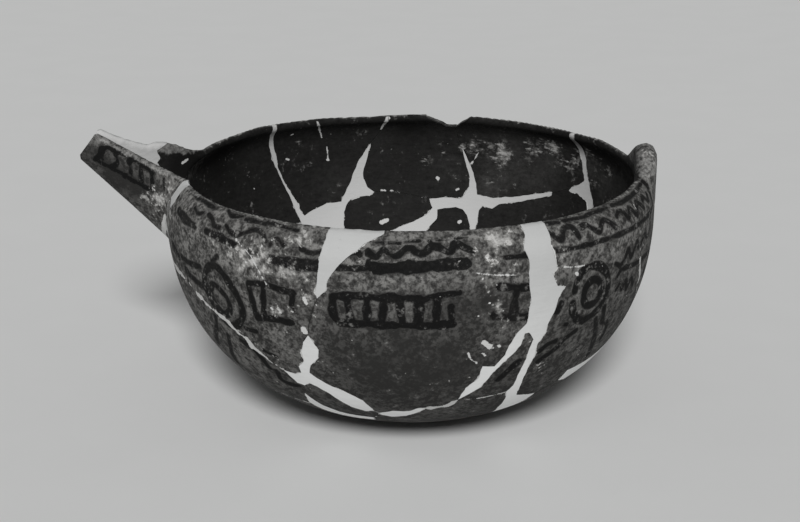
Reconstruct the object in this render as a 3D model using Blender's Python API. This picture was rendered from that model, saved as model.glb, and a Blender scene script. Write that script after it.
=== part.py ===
"""Painted bowl with an open trough spout and a rim lug, mended from its sherds.

The bowl is turned as one shell, the spout and the lug are luted to it, and the vessel is then
parted along its fracture lines into the sherds that it broke into and the plaster fills that
replace what is lost. Metres, +Z up. The bowl stands on the XY plane with its axis on Z, the lug
towards +X and the spout towards -X.
"""
import math

import bmesh
import bpy
from mathutils import Vector
from mathutils.bvhtree import BVHTree

# Bowl
WIDEST_RADIUS = 0.125
BOWL_HEIGHT = 0.1255
SHOULDER_RISE = 0.0175      # from the widest level up to the rim
WIDEST_HEIGHT = BOWL_HEIGHT - SHOULDER_RISE
RIM_TURN_IN = 0.008
RIM_RADIUS = WIDEST_RADIUS - RIM_TURN_IN
BASE_FLAT_RADIUS = 0.022
BELLY_FULLNESS = 2.3        # 2 is a round belly, more is squarer
SHOULDER_FULLNESS = 2.7     # how late the shoulder turns in to the rim
BELLY_WALL = 0.0046
RIM_WALL = 0.0040
BASE_WALL = 0.0065

# Spout: an open trough that narrows and rises to its tip
SPOUT_ROOT_INSET = 0.013    # how far inside the bowl's outer face the spout starts
SPOUT_LENGTH = 0.056        # of its lips
SPOUT_RISE = 0.0175         # of its lips, above the rim
SPOUT_ROOT_X = SPOUT_ROOT_INSET - RIM_RADIUS
SPOUT_TIP_X = SPOUT_ROOT_X - SPOUT_LENGTH
SPOUT_TIP_HEIGHT = BOWL_HEIGHT + SPOUT_RISE
SPOUT_ROOT_HALF_WIDTH = 0.040
SPOUT_TIP_HALF_WIDTH = 0.0068
SPOUT_FLARE = 1.7           # how fast it narrows near the bowl
SPOUT_LIP_SWEEP = 1.2       # how late the lips rise
KEEL_ROOT_DROP = 0.0518     # below the rim
KEEL_TIP_DROP = 0.0133      # below the lips
KEEL_TIP_REACH = 0.0102     # past the lips
KEEL_ROOT = (SPOUT_ROOT_INSET - WIDEST_RADIUS, BOWL_HEIGHT - KEEL_ROOT_DROP)
KEEL_TIP = (SPOUT_TIP_X - KEEL_TIP_REACH, SPOUT_TIP_HEIGHT - KEEL_TIP_DROP)
TROUGH_FULLNESS = 1.8
SPOUT_WALL = 0.0044
SPOUT_FLOOR = 0.0052

# Lug: an upright tab on the rim
LUG_BEARING = -2.5          # of its middle, in degrees from +X
LUG_HALF_SPREAD = 14.5
LUG_FULLNESS = 1.2          # 1 is a parabola, more is more pointed
LUG_RISE = 0.0122           # above the rim
LUG_PROUD = 0.0006          # of the belly
LUG_RADIUS = WIDEST_RADIUS + LUG_PROUD
LUG_WALL = 0.0108
LUG_FOOT_DEPTH = 0.026      # below the rim, where its outer face dies into the belly
LUG_SETBACK = 0.0006        # how far it stops short of the bowl's inner face

# Breaks
BREAK_WIDTH = 0.0003
BREAK_OVERRUN = 0.0006      # how far a crack runs into the one that stops it
BREAK_NEAR = 0.7            # how far in a break's cut starts, as a share of the widest radius
BREAK_FAR = 1.2             # where it ends on the bowl
BREAK_FAR_ON_SPOUT = 1.8
MITER_LIMIT = 2.0           # the most that a cut widens at a turn
HAIRPIN = 0.2               # a turn sharper than this has no miter
SPOUT_BREAK_BEARING = 179.5
STUB_BREAK_SETBACK = 0.0305     # from the spout's tip to where its far lip snapped off
STUB_BREAK_X = SPOUT_TIP_X + STUB_BREAK_SETBACK

# Facets
TURN_STEPS = 72
BELLY_STEPS = 12
SHOULDER_STEPS = 3
LIP_STEPS = 4
TROUGH_STEPS = 12
SPOUT_STATIONS = 11
LUG_STATIONS = 12

OVER_RIM = -35.0
CENTRE = Vector((0, 0, WIDEST_HEIGHT))

SHERD_TONE = (0.11, 0.105, 0.095)
PLASTER_TONE = (0.51, 0.52, 0.52)

# Fracture lines and fill outlines as (bearing, dip) in degrees, seen from the middle of the bowl at
# its widest level: bearing round the axis from the lug, with the spout at 180 and the front at 270,
# and dip below that level. A line that leaves over the rim ends at OVER_RIM.
CRACKS = {
    "under_spout": [(187, 10.5), (183, 11.5), (SPOUT_BREAK_BEARING, 11.5)],
    "left_back": [(SPOUT_BREAK_BEARING, 11.5), (168, 13), (155, 15), (142, 17.5), (130, 19.5),
                  (123.5, 20.5)],
    "left_diagonal": [(187, 10.5), (194.5, 11.5), (203, 11.5), (208, 12), (211.5, 13.5),
                      (216, 15), (223, 17.5), (228.5, 20.5), (231, 23.5), (234.5, 26),
                      (237.5, 27.5)],
    "front_left_hairline": [(250, 6.5), (248.5, 10), (247.5, 13), (247, 15.5)],
    "base_left_end": [(259, 40.5), (260.5, 42)],
    "base_left_turn": [(260.5, 42), (259, 45), (257, 48.5)],
    "base_front": [(274, 38), (279.5, 37.5), (282.5, 34.5)],
    "narrow_sherd_foot": [(296, 34), (289, 35), (282.5, 34.5)],
    "front_right_foot": [(309.5, 39.5), (313, 36.5), (316, 34)],
    "right_hairline": [(331, OVER_RIM), (332, -3), (332.5, 1.5), (334, 6.5), (337, 12),
                       (337, 14), (341, 20), (343, 26.5)],
    "lug_sherd_foot": [(343, 28), (352, 26), (365, 24.5), (378, 23), (388, 19)],
    "back_right_tail": [(390, 15.5), (388, 19)],
    "back_right_lower": [(388, 19), (390, 30), (387, 45)],
    "back_dashes": [(46.5, 10.5), (43, 9), (40.5, 8)],
    "notch_crack": [(75, 1), (76, -1), (77, -5), (77, OVER_RIM)],
    "small_sherd_foot": [(70, 25), (75, 28), (80, 30), (87, 29.5)],
    "back_lower": [(91, 31.5), (91, 38), (90, 44)],
    "back_level": [(100, 14), (94.5, 14), (89.5, 15), (84, 16)],
    "back_rim": [(101, 0.5), (97.5, -4), (96, -7), (96, OVER_RIM)],
    "back_left_lower": [(116, 29.5), (115, 37), (114, 44)],
    "left_split": [(182, 11.5), (181, 20), (177, 32), (176, 43)],
    "base_ring": [(237.5, 43), (225, 42), (212, 41), (200, 41), (188, 42.5), (176, 43), (163, 44),
                  (150, 44.5), (132, 43.5), (114, 44), (102, 43), (90, 44), (75, 46), (60, 46),
                  (43, 44.5), (27, 45), (16, 46.5), (5, 46.5), (-5, 45), (-15, 45.5), (-25, 47),
                  (-33, 46), (-49.5, 45)],
}

FILLS = {
    "fill_spout_root": [
        (195.5, OVER_RIM), (196, -4.5), (193, -1), (188.5, 4), (187.5, 7), (187, 10.5),
        (192, 6.5), (192, 4), (196, -1), (200, -4.5), (198.5, OVER_RIM)],
    "fill_front_left": [
        (251, OVER_RIM), (251.5, -7), (251, -4), (250.5, -0.5), (250, 3), (249.5, 5), (250, 6.5),
        (252, 4.5), (252.5, 2), (253.5, 0.5), (255, -1.5), (256.5, -3), (258.5, -4.5), (260, -6),
        (264, -8), (264.5, OVER_RIM)],
    "fill_lower_left": [
        (247, 15.5), (248, 17), (249, 19), (248.5, 21.5), (246, 24), (245, 26.5), (246.5, 28),
        (248.5, 29.5), (251.5, 31), (254.5, 33), (257, 35), (258.5, 38.5), (259, 40.5),
        (256.5, 41.5), (252.5, 39.5), (250.5, 37), (248, 33.5), (245.5, 31.5), (243.5, 30.5),
        (241.5, 32), (239.5, 31.5), (237.5, 27.5), (240.5, 28), (242.5, 27), (242.5, 25),
        (244.5, 23), (244.5, 20), (245.5, 17.5)],
    "fill_base_left": [
        (239.5, 36), (242, 42), (246, 45.5), (251, 47), (257, 47), (257, 50.5), (250, 52),
        (243, 51), (238.5, 47), (237, 42)],
    "fill_base_front": [
        (260.5, 42), (264.5, 40), (269, 40), (272.5, 38), (274, 38), (272, 40.5), (268.5, 43.5),
        (264, 44.5), (261, 43.5)],
    "fill_front_right": [
        (295, OVER_RIM), (295, -6.5), (294, -4), (295, -1.5), (295, 1.5), (296, 7.5), (295.5, 13),
        (293.5, 15), (292, 18), (291.5, 20.5), (289.5, 23.5), (286.5, 23), (286, 27), (283.5, 30),
        (282.5, 34.5), (287.5, 30), (289.5, 25.5), (291.5, 22.5), (293.5, 20.5), (295, 18.5),
        (295.5, 15.5), (296.5, 15.5), (298, 17.5), (297.5, 20), (297.5, 22.5), (297, 25.5),
        (297, 31.5), (296, 34), (297.5, 37), (299, 44), (302.5, 51), (311, 48.5), (309.5, 39.5),
        (301, 37), (300, 35), (299, 29), (299, 25), (299.5, 22.5), (299.5, 19), (301, 16),
        (301, 14.5), (302.5, 11), (303, 8.5), (304.5, 6), (302.5, 5.5), (301, 2.5), (302, 1.5),
        (301.5, -0.5), (300.5, -3.5), (301, -6), (301.5, OVER_RIM)],
    "fill_right": [
        (316, 32), (322, 32), (328, 31.5), (334, 30.5), (339, 28), (343, 26.5), (343, 29.5),
        (339, 31.5), (334, 34), (328, 36), (321, 38), (316, 36)],
    "fill_back_right": [
        (38.5, OVER_RIM), (38.5, -6), (37.5, -3), (36.5, 0), (36, 2.5), (35, 4.5), (37, 6),
        (40, 7.5), (40.5, 8.5), (37.5, 8.5), (35, 9.5), (33.5, 9.5), (32.5, 11.5), (31, 15.5),
        (29.5, 15.5), (30.5, 11), (31, 9), (32.5, 7), (33.5, 4.5), (34.5, 2.5), (35, -1),
        (36, -4.5), (37, -6.5), (37, OVER_RIM)],
    "fill_back": [
        (84, 16), (79.5, 15.5), (74.5, 15.5), (73.5, 14), (72.5, 12), (72.5, 9.5), (74, 5),
        (75, 1), (73, 5), (71.5, 8), (70.5, 11), (70, 14), (65, 14.5), (57, 13), (52, 11.5),
        (46.5, 10), (46.5, 11), (52, 13), (57, 14.5), (63, 16), (65, 17.5), (68, 17), (69, 18.5),
        (69, 21.5), (69.5, 25), (70.5, 25), (72.5, 20), (74, 18.5), (76, 18), (79.5, 18.5),
        (81.5, 19), (81.5, 21.5), (84.5, 25), (87, 29.5), (91, 31.5), (96, 30), (97, 26),
        (93, 24), (88.5, 22.5), (84, 20), (83, 18.5)],
    "fill_back_left": [
        (132.5, OVER_RIM), (132.5, -6), (131, -0.5), (130, 3), (128, 7.5), (126, 12), (124.5, 17),
        (123.5, 20.5), (122, 24), (119, 29), (113, 30), (110.5, 26), (110, 22), (109.5, 19),
        (108.5, 17), (107, 15.5), (104.5, 15), (101.5, 15), (100, 14), (102, 12.5), (103, 10),
        (103, 8), (102, 5), (101, 0.5), (104, 4.5), (105.5, 7.5), (106.5, 10), (108.5, 13.5),
        (110, 16), (114.5, 16), (119.5, 17.5), (122, 18.5), (123, 17), (124.5, 13), (127, 8.5),
        (129, 3.5), (129.5, 0), (131, -5.5), (131, OVER_RIM)],
}

# Two opposite points of each fill's outline, with the fill's plaster between them
FILL_MARKS = {
    "fill_spout_root": (3, 7),
    "fill_front_left": (3, 10),
    "fill_lower_left": (2, 26),
    "fill_base_left": (2, 7),
    "fill_base_front": (2, 6),
    "fill_front_right": (5, 42),
    "fill_right": (2, 9),
    "fill_back_right": (3, 20),
    "fill_back": (3, 11),
    "fill_back_left": (10, 29),
}

RIM_NOTCH = [(85.5, OVER_RIM), (85, -8), (82, -6.5), (79.5, -5), (76.5, -5), (74, -7), (72, -8.5),
             (72, OVER_RIM)]

# The break across the spout's far wall: how far it wanders from STUB_BREAK_X, and its height above
# or below the rim
STUB_BREAK = [(0.000, 0.0445), (-0.001, 0.0085), (0.0025, 0.0005), (-0.0005, -0.0075),
              (0.0005, -0.0175), (-0.0015, -0.0275), (-0.003, -0.0455)]

# A point of each sherd, as (bearing, dip), well inside its edges
SHERDS = {
    "sherd_rim_front": (273, 5),
    "sherd_rim_front_left": (228, 5),
    "sherd_rim_front_right": (318, 10),
    "sherd_rim_lug": (0, 8),
    "sherd_rim_back_right": (55, 2),
    "sherd_rim_back": (88, 5),
    "sherd_rim_back_left": (115, 6),
    "sherd_rim_spout_stub": (150, 5),
    "sherd_wall_left": (210, 28),
    "sherd_wall_left_back": (145, 30),
    "sherd_wall_back": (103, 32),
    "sherd_wall_back_small": (77, 23),
    "sherd_wall_back_right": (50, 30),
    "sherd_wall_right": (5, 36),
    "sherd_wall_front_narrow": (293, 28),
    "sherd_base": (200, 75),
}


def radial(bearing, dip):
    """Unit vector from CENTRE."""
    turn, drop = math.radians(bearing), math.radians(dip)
    return Vector((math.cos(drop) * math.cos(turn), math.cos(drop) * math.sin(turn),
                   -math.sin(drop)))


def make_object(name, bm):
    bmesh.ops.recalc_face_normals(bm, faces=bm.faces)
    bmesh.ops.triangulate(bm, faces=bm.faces)
    mesh = bpy.data.meshes.new(name)
    bm.to_mesh(mesh)
    bm.free()
    obj = bpy.data.objects.new(name, mesh)
    bpy.context.scene.collection.objects.link(obj)
    return obj


def combine(target, tool, operation):
    """Applies a Boolean to target's mesh and removes the tool.

    The solver is MANIFOLD, because EXACT leaves open edges where the flared root of the spout
    runs nearly along the belly.
    """
    modifier = target.modifiers.new(operation, "BOOLEAN")
    modifier.operation = operation
    modifier.solver = "MANIFOLD"
    modifier.object = tool
    bpy.context.view_layer.update()
    result = bpy.data.meshes.new_from_object(
        target.evaluated_get(bpy.context.evaluated_depsgraph_get()))
    target.modifiers.remove(modifier)
    target.data = result
    bpy.data.objects.remove(tool)


# Turned bowl

def belly_profile():
    """Outer line of the bowl as (radius, height), from the edge of the flat up to the lip."""
    first = math.asin((BASE_FLAT_RADIUS / WIDEST_RADIUS) ** (BELLY_FULLNESS / 2))
    power = 2 / BELLY_FULLNESS
    depth = WIDEST_HEIGHT / math.cos(first) ** power
    line = []
    for step in range(BELLY_STEPS + 1):
        angle = first + (math.pi / 2 - first) * step / BELLY_STEPS
        drop = depth * max(math.cos(angle), 0.0) ** power
        line.append((WIDEST_RADIUS * math.sin(angle) ** power, WIDEST_HEIGHT - drop))
    turn_in = WIDEST_RADIUS - RIM_RADIUS
    slope = SHOULDER_FULLNESS * turn_in / (BOWL_HEIGHT - WIDEST_HEIGHT)
    lean = math.sin(math.atan(slope))
    shoulder_height = BOWL_HEIGHT - RIM_WALL / 2 * (1 - lean) - WIDEST_HEIGHT
    for step in range(1, SHOULDER_STEPS + 1):
        rise = step / SHOULDER_STEPS
        line.append((WIDEST_RADIUS - turn_in * rise ** SHOULDER_FULLNESS,
                     WIDEST_HEIGHT + shoulder_height * rise))
    return line


def wall_at(height):
    """Wall thickness, from the thick base past the belly to the thin rim."""
    if height < WIDEST_HEIGHT:
        share = (height / WIDEST_HEIGHT) ** 0.5
        return BASE_WALL + (BELLY_WALL - BASE_WALL) * share
    share = (height - WIDEST_HEIGHT) / (BOWL_HEIGHT - WIDEST_HEIGHT)
    return BELLY_WALL + (RIM_WALL - BELLY_WALL) * share


def inward(line, index):
    """Unit normal of a profile line, towards the inside of the bowl."""
    before = line[max(index - 1, 0)]
    after = line[min(index + 1, len(line) - 1)]
    run = Vector((after[0] - before[0], after[1] - before[1])).normalized()
    return Vector((-run.y, run.x))


def inner_profile(setback=0.0):
    outer = belly_profile()
    line = []
    for index, (radius, height) in enumerate(outer):
        point = Vector((radius, height)) + inward(outer, index) * (wall_at(height) - setback)
        line.append((point.x, point.y))
    return line


def revolve(line):
    """Closed solid turned from a profile line that starts and ends on the axis."""
    bm = bmesh.new()
    rings = []
    turns = [2 * math.pi * step / TURN_STEPS for step in range(TURN_STEPS)]
    for radius, height in line:
        if radius < 1e-9:
            rings.append([bm.verts.new((0, 0, height))])
        else:
            rings.append([bm.verts.new((radius * math.cos(turn), radius * math.sin(turn), height))
                          for turn in turns])
    for low, high in zip(rings, rings[1:]):
        for step in range(TURN_STEPS):
            after = (step + 1) % TURN_STEPS
            corners = [low[step % len(low)], low[after % len(low)],
                       high[after % len(high)], high[step % len(high)]]
            bm.faces.new(list(dict.fromkeys(corners)))
    return bm


def lip_profile():
    """The rounded lip as (radius, height), between the outer and the inner line."""
    outer = belly_profile()
    tip = len(outer) - 1
    across = inward(outer, tip)
    along = Vector((across.y, -across.x))
    middle = Vector(outer[tip]) + across * RIM_WALL / 2
    lip = []
    for step in range(1, LIP_STEPS):
        angle = math.pi * step / LIP_STEPS
        point = middle + (along * math.sin(angle) - across * math.cos(angle)) * RIM_WALL / 2
        lip.append((point.x, point.y))
    return lip


def bowl_outside():
    """The bowl before it is hollowed."""
    lip = lip_profile()
    return make_object("vessel", revolve([(0, 0)] + belly_profile() + lip + [(0, lip[-1][1])]))


def bowl_hollow(setback=0.0):
    """The space inside the bowl, carried straight up past the rim."""
    inner = inner_profile(setback)
    mouth = lip_profile()[-1]
    top = SPOUT_TIP_HEIGHT + LUG_RISE
    line = [(0, inner[0][1])] + inner + [mouth, (mouth[0], top), (0, top)]
    return make_object("hollow", revolve(line))


# Trough spout

def trough_line(share, wall, floor):
    """One cross-section of the trough, lip to lip; share runs from 0 at the root to 1 at the tip."""
    flare = max(1 - share, 0.0) ** SPOUT_FLARE
    half = SPOUT_TIP_HALF_WIDTH + (SPOUT_ROOT_HALF_WIDTH - SPOUT_TIP_HALF_WIDTH) * flare - wall
    sweep = max(share, 0.0) ** SPOUT_LIP_SWEEP
    lip = Vector((SPOUT_ROOT_X + (SPOUT_TIP_X - SPOUT_ROOT_X) * share, 0,
                  BOWL_HEIGHT + (SPOUT_TIP_HEIGHT - BOWL_HEIGHT) * sweep))
    keel = Vector((KEEL_ROOT[0] + (KEEL_TIP[0] - KEEL_ROOT[0]) * share, 0,
                   KEEL_ROOT[1] + (KEEL_TIP[1] - KEEL_ROOT[1]) * share))
    keel += (lip - keel).normalized() * floor
    power = 2 / TROUGH_FULLNESS
    points = []
    for step in range(TROUGH_STEPS + 1):
        angle = math.pi * (step / TROUGH_STEPS - 0.5)
        side = math.copysign(abs(math.sin(angle)) ** power, angle)
        points.append(lip.lerp(keel, max(math.cos(angle), 0.0) ** power)
                      + Vector((0, half * side, 0)))
    return points


def loft(sections, closed=False):
    """Closed solid through a row of closed sections; a closed row ends on its first section."""
    bm = bmesh.new()
    rings = [[bm.verts.new(point) for point in section] for section in sections]
    pairs = list(zip(rings, rings[1:]))
    if closed:
        pairs.append((rings[-1], rings[0]))
    for one, two in pairs:
        for index in range(len(one)):
            after = (index + 1) % len(one)
            bm.faces.new((one[index], one[after], two[after], two[index]))
    if not closed:
        bm.faces.new(rings[0][::-1])
        bm.faces.new(rings[-1])
    return bm


def spout_outside():
    """The spout before its channel is cut."""
    sections = []
    crown = Vector((0, 0, SPOUT_WALL / 4))
    for station in range(-2, SPOUT_STATIONS + 1):
        share = station / SPOUT_STATIONS
        outer = trough_line(share, 0, 0)
        inner = trough_line(share, SPOUT_WALL, SPOUT_FLOOR)
        near_lip = (outer[0] + inner[0]) / 2 + crown
        far_lip = (outer[-1] + inner[-1]) / 2 + crown
        sections.append(outer + [far_lip, inner[-1], inner[0], near_lip])
    return make_object("spout", loft(sections))


def spout_channel():
    """What flows through the spout and out past its tip, open above it."""
    sections = []
    headroom = Vector((0, 0, WIDEST_RADIUS / 2))
    for station in range(-4, SPOUT_STATIONS + 3):
        inner = trough_line(station / SPOUT_STATIONS, SPOUT_WALL, SPOUT_FLOOR)
        sections.append(inner + [inner[-1] + headroom, inner[0] + headroom])
    return make_object("channel", loft(sections))


# Lug

def rim_lug():
    """Upright tab whose outer face carries the belly's widest line straight up."""
    sections = []
    inner_face = LUG_RADIUS - LUG_WALL
    foot = BOWL_HEIGHT - LUG_FOOT_DEPTH
    for station in range(LUG_STATIONS + 1):
        across = 2 * station / LUG_STATIONS - 1
        swell = (1 - across ** 2) ** LUG_FULLNESS
        top = BOWL_HEIGHT - RIM_WALL / 2 + (LUG_RISE + RIM_WALL / 2) * swell
        face = RIM_RADIUS + (LUG_RADIUS - RIM_RADIUS) * swell ** 0.5
        thick = face - inner_face
        line = [(inner_face + thick / 4, foot), (face - thick / 8, foot), (face, foot + thick),
                (face, top - thick * 0.45), (face - thick * 0.15, top - thick * 0.12),
                (face - thick * 0.4, top), (inner_face + thick * 0.25, top - thick * 0.08),
                (inner_face, top - thick * 0.35), (inner_face, foot + thick)]
        turn = math.radians(LUG_BEARING + across * LUG_HALF_SPREAD)
        sections.append([Vector((radius * math.cos(turn), radius * math.sin(turn), height))
                         for radius, height in line])
    return make_object("lug", loft(sections))


# Breaks

def ribbon(line, closed=False, reach=BREAK_FAR):
    """Thin radial wall along a fracture line, wide enough to part what it crosses."""
    near, far = WIDEST_RADIUS * BREAK_NEAR, WIDEST_RADIUS * reach
    rays = [radial(*point) for point in line]
    count = len(rays)
    if not closed:
        overrun = BREAK_OVERRUN / WIDEST_RADIUS
        rays[0] = (rays[0] + (rays[0] - rays[1]).normalized() * overrun).normalized()
        rays[-1] = (rays[-1] + (rays[-1] - rays[-2]).normalized() * overrun).normalized()
    sections = []
    for index, ray in enumerate(rays):
        before = rays[index - 1] if closed or index else ray
        after = rays[(index + 1) % count] if closed or index < count - 1 else ray
        come, leave = (ray - before), (after - ray)
        come = come.normalized() if come.length else leave.normalized()
        leave = leave.normalized() if leave.length else come
        run = (come + leave)
        run = run.normalized() if run.length > HAIRPIN else come
        stretch = 1 / max(run.dot(come), 1 / MITER_LIMIT)
        side = ray.cross(run).normalized() * (BREAK_WIDTH / 2 * stretch)
        sections.append([CENTRE + ray * near - side, CENTRE + ray * near + side,
                         CENTRE + ray * far + side, CENTRE + ray * far - side])
    return make_object("break", loft(sections, closed))


def stub_break():
    """Break across the far wall of the spout, from the lengthwise break outwards."""
    lean = math.tan(math.radians(180 - SPOUT_BREAK_BEARING))
    outside = SPOUT_ROOT_HALF_WIDTH * 1.3
    sections = []
    for wander, rise in STUB_BREAK:
        x = STUB_BREAK_X + wander
        height = BOWL_HEIGHT + rise
        inside = -x * lean - BREAK_OVERRUN
        sections.append([Vector((x - BREAK_WIDTH / 2, inside, height)),
                         Vector((x + BREAK_WIDTH / 2, inside, height)),
                         Vector((x + BREAK_WIDTH / 2, outside, height)),
                         Vector((x - BREAK_WIDTH / 2, outside, height))])
    return make_object("break", loft(sections))


def rim_notch():
    """The bite missing from the rim at the back."""
    rays = [radial(*point) for point in RIM_NOTCH]
    near = [CENTRE + ray * WIDEST_RADIUS * BREAK_NEAR for ray in rays]
    far = [CENTRE + ray * WIDEST_RADIUS * BREAK_FAR for ray in rays]
    return make_object("notch", loft([near, far]))


# Pieces

def separate_pieces(vessel):
    """The islands of the parted vessel, as a list of bmeshes."""
    bm = bmesh.new()
    bm.from_mesh(vessel.data)
    waiting = set(bm.faces)
    pieces = []
    while waiting:
        island = {waiting.pop()}
        edge_of_island = list(island)
        while edge_of_island:
            face = edge_of_island.pop()
            for edge in face.edges:
                for other in edge.link_faces:
                    if other in waiting:
                        waiting.remove(other)
                        island.add(other)
                        edge_of_island.append(other)
        piece = bmesh.new()
        copies = {}
        for face in sorted(island, key=lambda item: item.index):
            corners = []
            for vert in face.verts:
                if vert not in copies:
                    copies[vert] = piece.verts.new(vert.co)
                corners.append(copies[vert])
            piece.faces.new(corners)
        pieces.append(piece)
    bm.free()
    bpy.data.objects.remove(vessel)
    return pieces


def dip_of(point):
    """Dip below CENTRE of a (radius, height) point."""
    return math.degrees(math.atan2(WIDEST_HEIGHT - point[1], point[0]))


def middle_of_wall(bearing, dip):
    """Point in the thickness of the bowl's wall, at a bearing and dip."""
    line = [(Vector(one) + Vector(two)) / 2 for one, two in zip(belly_profile(), inner_profile())]
    below = [index for index, point in enumerate(line) if dip_of(point) >= dip]
    low = line[below[-1]]
    high = line[below[-1] + 1]
    middle = low.lerp(high, (dip_of(low) - dip) / (dip_of(low) - dip_of(high)))
    turn = math.radians(bearing)
    return Vector((middle.x * math.cos(turn), middle.x * math.sin(turn), middle.y))


def piece_marks():
    """A point inside each piece, by the piece's name."""
    marks = {name: middle_of_wall(*place) for name, place in SHERDS.items()}
    for name, outline in FILLS.items():
        one, two = FILL_MARKS[name]
        bearing = (outline[one][0] + outline[two][0]) / 2
        dip = (outline[one][1] + outline[two][1]) / 2
        marks[name] = middle_of_wall(bearing, dip)
    share = 0.8
    outer = trough_line(share, 0, 0)
    inner = trough_line(share, SPOUT_WALL, SPOUT_FLOOR)
    side = TROUGH_STEPS // 6
    marks["sherd_spout"] = (outer[side] + inner[side]) / 2
    marks["fill_spout_wall"] = (outer[-1 - side] + inner[-1 - side]) / 2
    return marks


def finish(obj, tone, roughness):
    material = bpy.data.materials.new(obj.name)
    material.use_nodes = True
    shader = material.node_tree.nodes["Principled BSDF"]
    shader.inputs["Base Color"].default_value = (*tone, 1)
    shader.inputs["Roughness"].default_value = roughness
    shader.inputs["Metallic"].default_value = 0
    material.diffuse_color = (*tone, 1)
    obj.data.materials.clear()
    obj.data.materials.append(material)
    obj.data.shade_smooth()
    obj.data.set_sharp_from_angle(angle=math.radians(30))


def name_pieces(pieces):
    """Gives each piece the name whose mark lies nearest to it."""
    trees = [BVHTree.FromBMesh(piece) for piece in pieces]
    for name, mark in piece_marks().items():
        distances = [tree.find_nearest(mark)[3] for tree in trees]
        nearest = distances.index(min(distances))
        if pieces[nearest] is None:
            raise ValueError(f"{name} shares a piece with another name")
        obj = make_object(name, pieces[nearest])
        pieces[nearest] = None
        plaster = name.startswith("fill")
        finish(obj, PLASTER_TONE if plaster else SHERD_TONE, 0.9 if plaster else 0.6)
    unnamed = sum(piece is not None for piece in pieces)
    if unnamed:
        raise ValueError(f"{unnamed} pieces have no name")


def main():
    for obj in list(bpy.data.objects):
        bpy.data.objects.remove(obj)
    vessel = bowl_outside()
    combine(vessel, spout_outside(), "UNION")
    combine(vessel, spout_channel(), "DIFFERENCE")
    combine(vessel, bowl_hollow(), "DIFFERENCE")
    lug = rim_lug()
    combine(lug, bowl_hollow(LUG_SETBACK), "DIFFERENCE")
    combine(vessel, lug, "UNION")
    combine(vessel, rim_notch(), "DIFFERENCE")
    for outline in FILLS.values():
        combine(vessel, ribbon(outline, closed=True), "DIFFERENCE")
    for line in CRACKS.values():
        combine(vessel, ribbon(line), "DIFFERENCE")
    along_spout = [(SPOUT_BREAK_BEARING, OVER_RIM), (SPOUT_BREAK_BEARING, 11.5)]
    combine(vessel, ribbon(along_spout, reach=BREAK_FAR_ON_SPOUT), "DIFFERENCE")
    combine(vessel, stub_break(), "DIFFERENCE")
    name_pieces(separate_pieces(vessel))


main()
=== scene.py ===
"""A mended, painted pottery bowl with an open trough spout and a rim lug.

The bowl is turned, the spout and the lug are luted on, the vessel is broken along its fracture
lines, and the sherds and the plaster fills are each finished. Metres, +Z up.
"""
import math
from collections import Counter

import bmesh
import bpy
import numpy as np
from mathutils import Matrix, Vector, noise
from mathutils.bvhtree import BVHTree
from mathutils.kdtree import KDTree


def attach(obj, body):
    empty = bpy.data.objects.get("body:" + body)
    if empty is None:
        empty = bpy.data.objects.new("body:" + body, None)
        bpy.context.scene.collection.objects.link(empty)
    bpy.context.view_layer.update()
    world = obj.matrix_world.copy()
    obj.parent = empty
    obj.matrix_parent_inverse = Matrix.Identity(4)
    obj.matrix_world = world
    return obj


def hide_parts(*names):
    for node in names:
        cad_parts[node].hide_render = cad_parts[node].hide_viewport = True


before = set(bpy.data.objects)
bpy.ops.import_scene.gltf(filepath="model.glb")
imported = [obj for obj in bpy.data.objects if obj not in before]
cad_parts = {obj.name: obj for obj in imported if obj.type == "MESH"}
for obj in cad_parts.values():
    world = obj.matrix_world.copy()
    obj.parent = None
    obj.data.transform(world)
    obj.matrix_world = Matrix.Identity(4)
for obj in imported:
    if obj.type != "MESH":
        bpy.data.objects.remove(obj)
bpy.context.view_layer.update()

bl_info = {
    "name": "Handled bowl",
    "version": (1, 0, 0),
    "blender": (4, 5, 0),
    "location": "View3D > Sidebar > Bowl",
    "description": "Builds a mended painted pottery bowl with a trough spout and a rim lug",
    "category": "Object",
}

MM = 0.001

# Mesh
SKIN_CELL = 2.0 * MM
FINE_EDGE = 1.3 * MM
ROUND_BRUSH = 2.0 * MM      # how far round the strokes the skin is made finer
ROUND_CHIPS = 1.5 * MM      # the same round the chips, where a second round reaches less far
CLOSE_TO_CHIPS = 0.8 * MM
JOIN_SPREAD = 5             # rounds that widen the smoothed strip where clay is luted on
JOIN_ROUNDS = 12            # rounds of smoothing on that strip
JOIN_SOFTNESS = 0.6         # share of the way to its neighbours that a point goes in a round
JOIN_HOLLOW = (0.07 * MM, 0.18 * MM)    # hollows at which the smoothing starts and is full
OPEN_TROUGH_X = -0.144      # beyond this the spout has no joins to smooth
OPEN_TROUGH_FADE = 4 * MM
SHARP_EDGE = math.radians(50)
ON_AXIS = 1e-9              # a smaller radius is a point on the axis
MOUTH_HEADROOM = 0.04       # how far the cut of the hollow goes up past the rim
LUG_SETBACK = 0.6 * MM      # how far the lug reaches into the wall that it is luted on
PIECE_VOTES = 90            # points of a piece that are asked which CAD node they lie on

# Handwork: (depth or rise in mm, size of the features, seed)
SEED_STEPS = (7.3, 3.1, 5.7)
WALL_RELIEF = [(0.14, 50 * MM, 1.0), (0.09, 13 * MM, 2.0)]
WALL_DEPTH = 0.20           # mean and least depth of the wall's relief in mm
LEAST_DEPTH = 0.02
FOOT_FADE = (1 * MM, 8 * MM)            # heights at which it starts and is full
RIM_RELIEF = [(0.22, 16 * MM, 3.0), (0.12, 6 * MM, 4.0)]
RIM_SETTLE = 0.12           # mm that the whole rim lies below its true height
RIM_FADE = (9 * MM, 1 * MM)             # depths below the rim where its relief starts and is full
SPOUT_RIM_FADE = (-0.138, -0.132)       # X on the spout from which it starts and is full

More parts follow.
